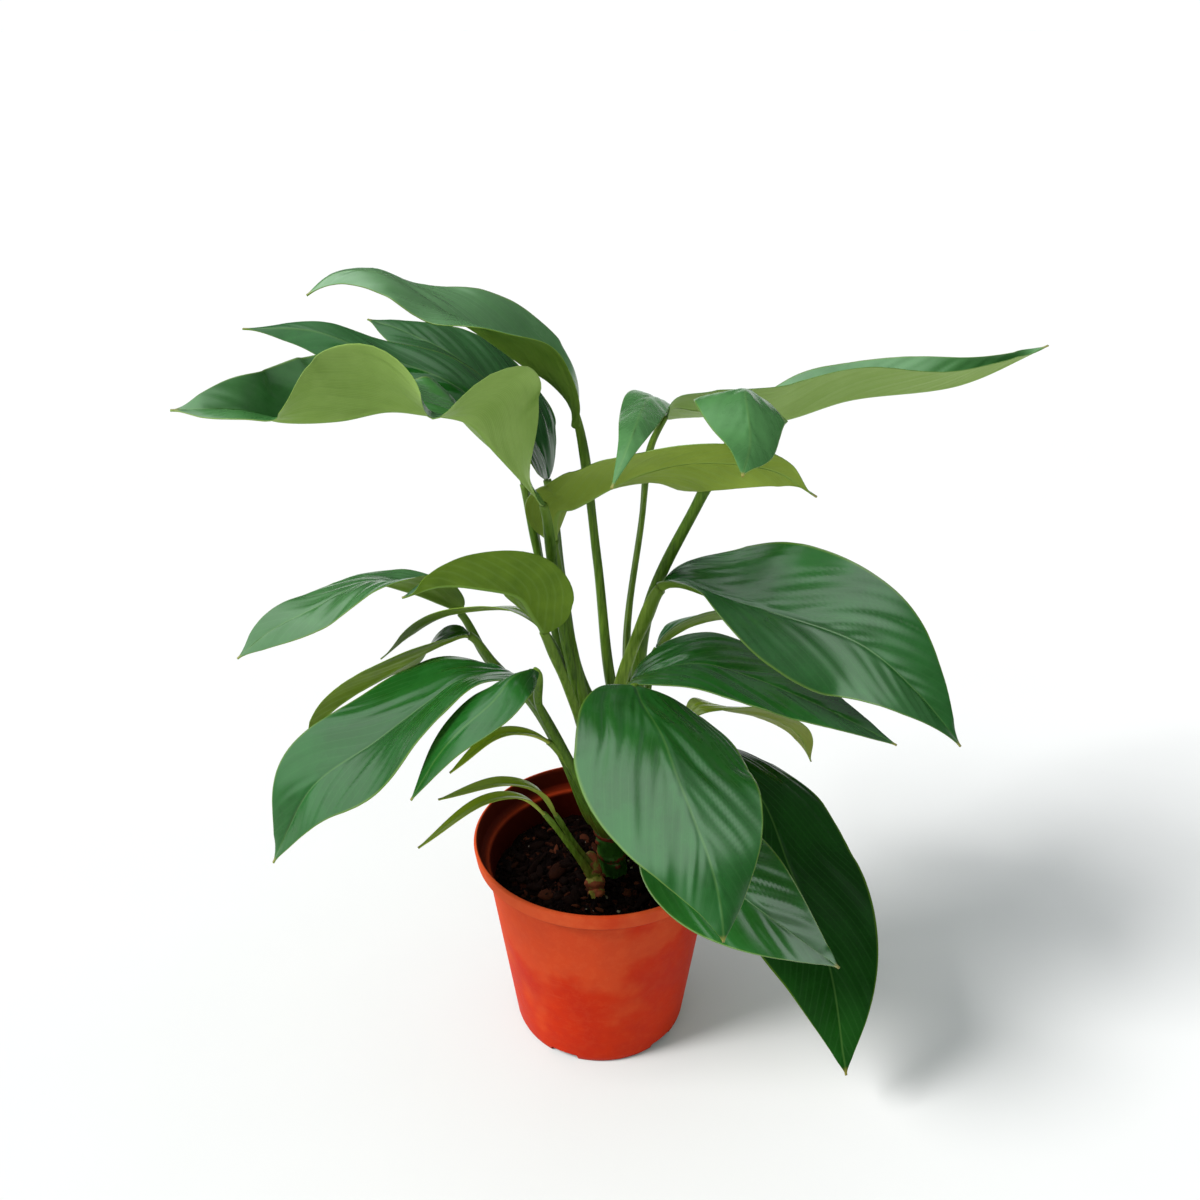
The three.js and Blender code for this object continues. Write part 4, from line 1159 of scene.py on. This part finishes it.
def make_leaf(leaf, sheet, seed):
    """One blade as a piece, with the upper skin on its first half of each ring."""
    rings = blade_rings(leaf, sheet, seed)
    count, around = rings.shape[:2]
    share, v, y, veins_passed = (np.concatenate([part, part[:, ::-1]], axis=1)
                                 for part in (sheet.share, sheet.v, sheet.y, sheet.count))
    half = around // 2
    lower = np.concatenate([np.tile(np.arange(around) >= half, count - 1), np.zeros(2 * (half - 1))])
    values = dict(vein_count=veins_passed, across=v, across_mm=y, share=share)
    for key in LOOKS[:4]:
        values[key] = np.full(v.shape, leaf.look[key])
    return add_piece("blade_" + leaf.name, rings, [upper_skin, lower_skin],
                     ["leaf_" + leaf.name], values, np.stack([share, (v + 1) / 2], -1), lower)


blades = [make_leaf(leaf, sheet, FIRST_SEED + n) for n, (leaf, sheet) in enumerate(zip(LEAVES, sheets))]
print("blades:", sum(len(b.data.polygons) for b in blades), "faces")

# %% Make the stalks and stems
def make_stalk(leaf):
    """One stalk as a piece of its own that stands for the solid of the stem it springs from."""
    rings, values = stalk_rings(leaf)
    values["young"] = np.full(rings.shape[:2], leaf.look["stalk"])
    return add_piece("stalk_" + leaf.name, rings, [stalk_skin], ["stem_" + leaf.stem], values)


def make_stem(name, seed, skin):
    """One stem's core as a piece."""
    rings, values = stem_rings(STEMS[name], seed)
    return add_piece("core_" + name, rings, [skin], ["stem_" + name], values)


stalks = [make_stalk(leaf) for leaf in LEAVES]
cores = [make_stem(name, n + 1, skin)
         for n, (name, skin) in enumerate(zip(STEMS, (stem_skin, stem_skin, shoot_skin)))]
print("stalks and stems:", sum(len(p.data.polygons) for p in stalks + cores), "faces")

# %% Make the mix and its bark
mix_bed = add_piece("potting_mix_bed", soil_rings(), [mix_finish], ["soil"])
points, shade = chip_points()
bark = add_piece("bark_chips", points, [bark_finish], values=dict(shade=shade),
                 faces=many_faces(ring_faces(len(CHIP_LEVELS), CHIP_SIDES), CHIP_COUNT,
                                  len(CHIP_LEVELS) * CHIP_SIDES))
print("mix:", len(mix_bed.data.polygons), "faces, bark:", len(bark.data.polygons))

# %% Make the pot
HOLES = SimpleNamespace(count=5, radius=4.0, ring=24.0, first=209.0, sides=48, above=3.0)


def cut_holes(pot):
    """Drain holes: drums through the floor, each two rings of points round its own middle, are taken
    away by one Boolean, which is then applied."""
    turn, middle = angles(HOLES.sides), (np.radians(HOLES.first) + angles(HOLES.count))[:, None, None]
    x, y = (HOLES.ring * part(middle) + HOLES.radius * part(turn) for part in (np.cos, np.sin))
    z = np.array([0.0, POT.floor + HOLES.above])[:, None]
    drums = add_mesh("drums", np.stack(np.broadcast_arrays(x, y, z), -1),
                     many_faces(ring_faces(2, HOLES.sides), HOLES.count, 2 * HOLES.sides))
    cut = pot.modifiers.new("drain_holes", "BOOLEAN")
    cut.object, cut.operation, cut.solver = drums, "DIFFERENCE", "EXACT"
    solid = bpy.data.meshes.new_from_object(pot.evaluated_get(bpy.context.evaluated_depsgraph_get()))
    pot.modifiers.clear()
    pot.data = solid
    bpy.data.objects.remove(drums)


pot = add_piece("nursery_pot", pot_rings(), [pot_finish], ["pot"])
cut_holes(pot)
print("pot:", len(pot.data.polygons), "faces")

# %% [markdown]
# ## Floor and light
# The photograph is a cut-out on white, with a soft shadow that falls to the right and a little to
# the back. That shadow gives the main light's direction: from the left, slightly in front, 45
# degrees high and 20 degrees wide. A lamp near the plant would leave the far floor grey, so a sun
# lamp and a pale world do the lighting. What the waxy leaves mirror is set apart from that: a
# broad bright sky above and to the left, and darkness near the horizon.

# %% Floor
FLOOR_RADIUS, FLOOR_SIDES = 60000.0, 96


def make_floor():
    """A wide pale disc below the pot, a little darker in soft clouds, as painted board is."""
    g = Finish("pale_floor")
    turn = angles(FLOOR_SIDES)
    floor = add_mesh("floor", FLOOR_RADIUS * np.stack([np.cos(turn), np.sin(turn), 0 * turn], -1),
                     np.arange(FLOOR_SIDES)[None])
    floor.data.materials.append(g.end(g.mix(mottled(g, 2.0), (0.86,) * 3, (0.88,) * 3), 0.9, 0.1))


make_floor()
print("floor:", FLOOR_RADIUS * MM, "m in radius")

# %% Light
SUN_TURN, SUN_HEIGHT, SUN_WIDTH = 202.0, 45.0, 20.0
SUN_COLOUR, SKY_COLOUR = (1.0, 0.99, 0.975), (0.93, 0.985, 1.0, 1.0)
BRIGHT_WAY = (-0.50, -0.20, 0.84)


def add_sun(strength):
    """A soft sun from SUN_TURN degrees round, SUN_HEIGHT degrees high. The leaves don't mirror it."""
    lamp = bpy.data.lights.new("soft_sun", "SUN")
    lamp.energy, lamp.angle, lamp.color = strength, np.radians(SUN_WIDTH), SUN_COLOUR
    sun = add_object("soft_sun", lamp)
    sun.rotation_euler = (0.0, np.radians(90.0 - SUN_HEIGHT), np.radians(SUN_TURN))
    sun.visible_glossy = False


def set_world(seen, shed, high, dome, low):
    """How bright the world is: seen for the camera, shed for diffuse rays, and for mirrored rays a
    sky that rises from low at the horizon to dome overhead, plus high round BRIGHT_WAY."""
    world = bpy.data.worlds.new("studio")
    bpy.context.scene.world = world
    world.use_nodes = True
    g = Graph(world.node_tree)
    way = g.node("TexCoord").outputs["Generated"]
    toward = g.node("VectorMath", {0: way, 1: BRIGHT_WAY}, operation="DOT_PRODUCT").outputs["Value"]
    up = g.node("SeparateXYZ", {0: way}).outputs["Z"]
    sky = g.add(g.ramp(up, 0.0, 1.0, low, dome), g.times(g.ramp(toward, 0.34, 0.80), high))
    ray = g.node("LightPath").outputs
    light = g.node("Mix", {0: ray["Is Glossy Ray"], 2: shed, 3: sky}).outputs[0]
    light = g.node("Mix", {0: ray["Is Camera Ray"], 2: light, 3: seen}).outputs[0]
    back = g.tree.nodes["Background"].inputs
    back["Color"].default_value = SKY_COLOUR
    g.put(light, back["Strength"])


add_sun(3.10)
set_world(seen=1.08, shed=0.50, high=2.8, dome=0.65, low=0.04)
bpy.context.scene.view_settings.view_transform = "Standard"

# %% [markdown]
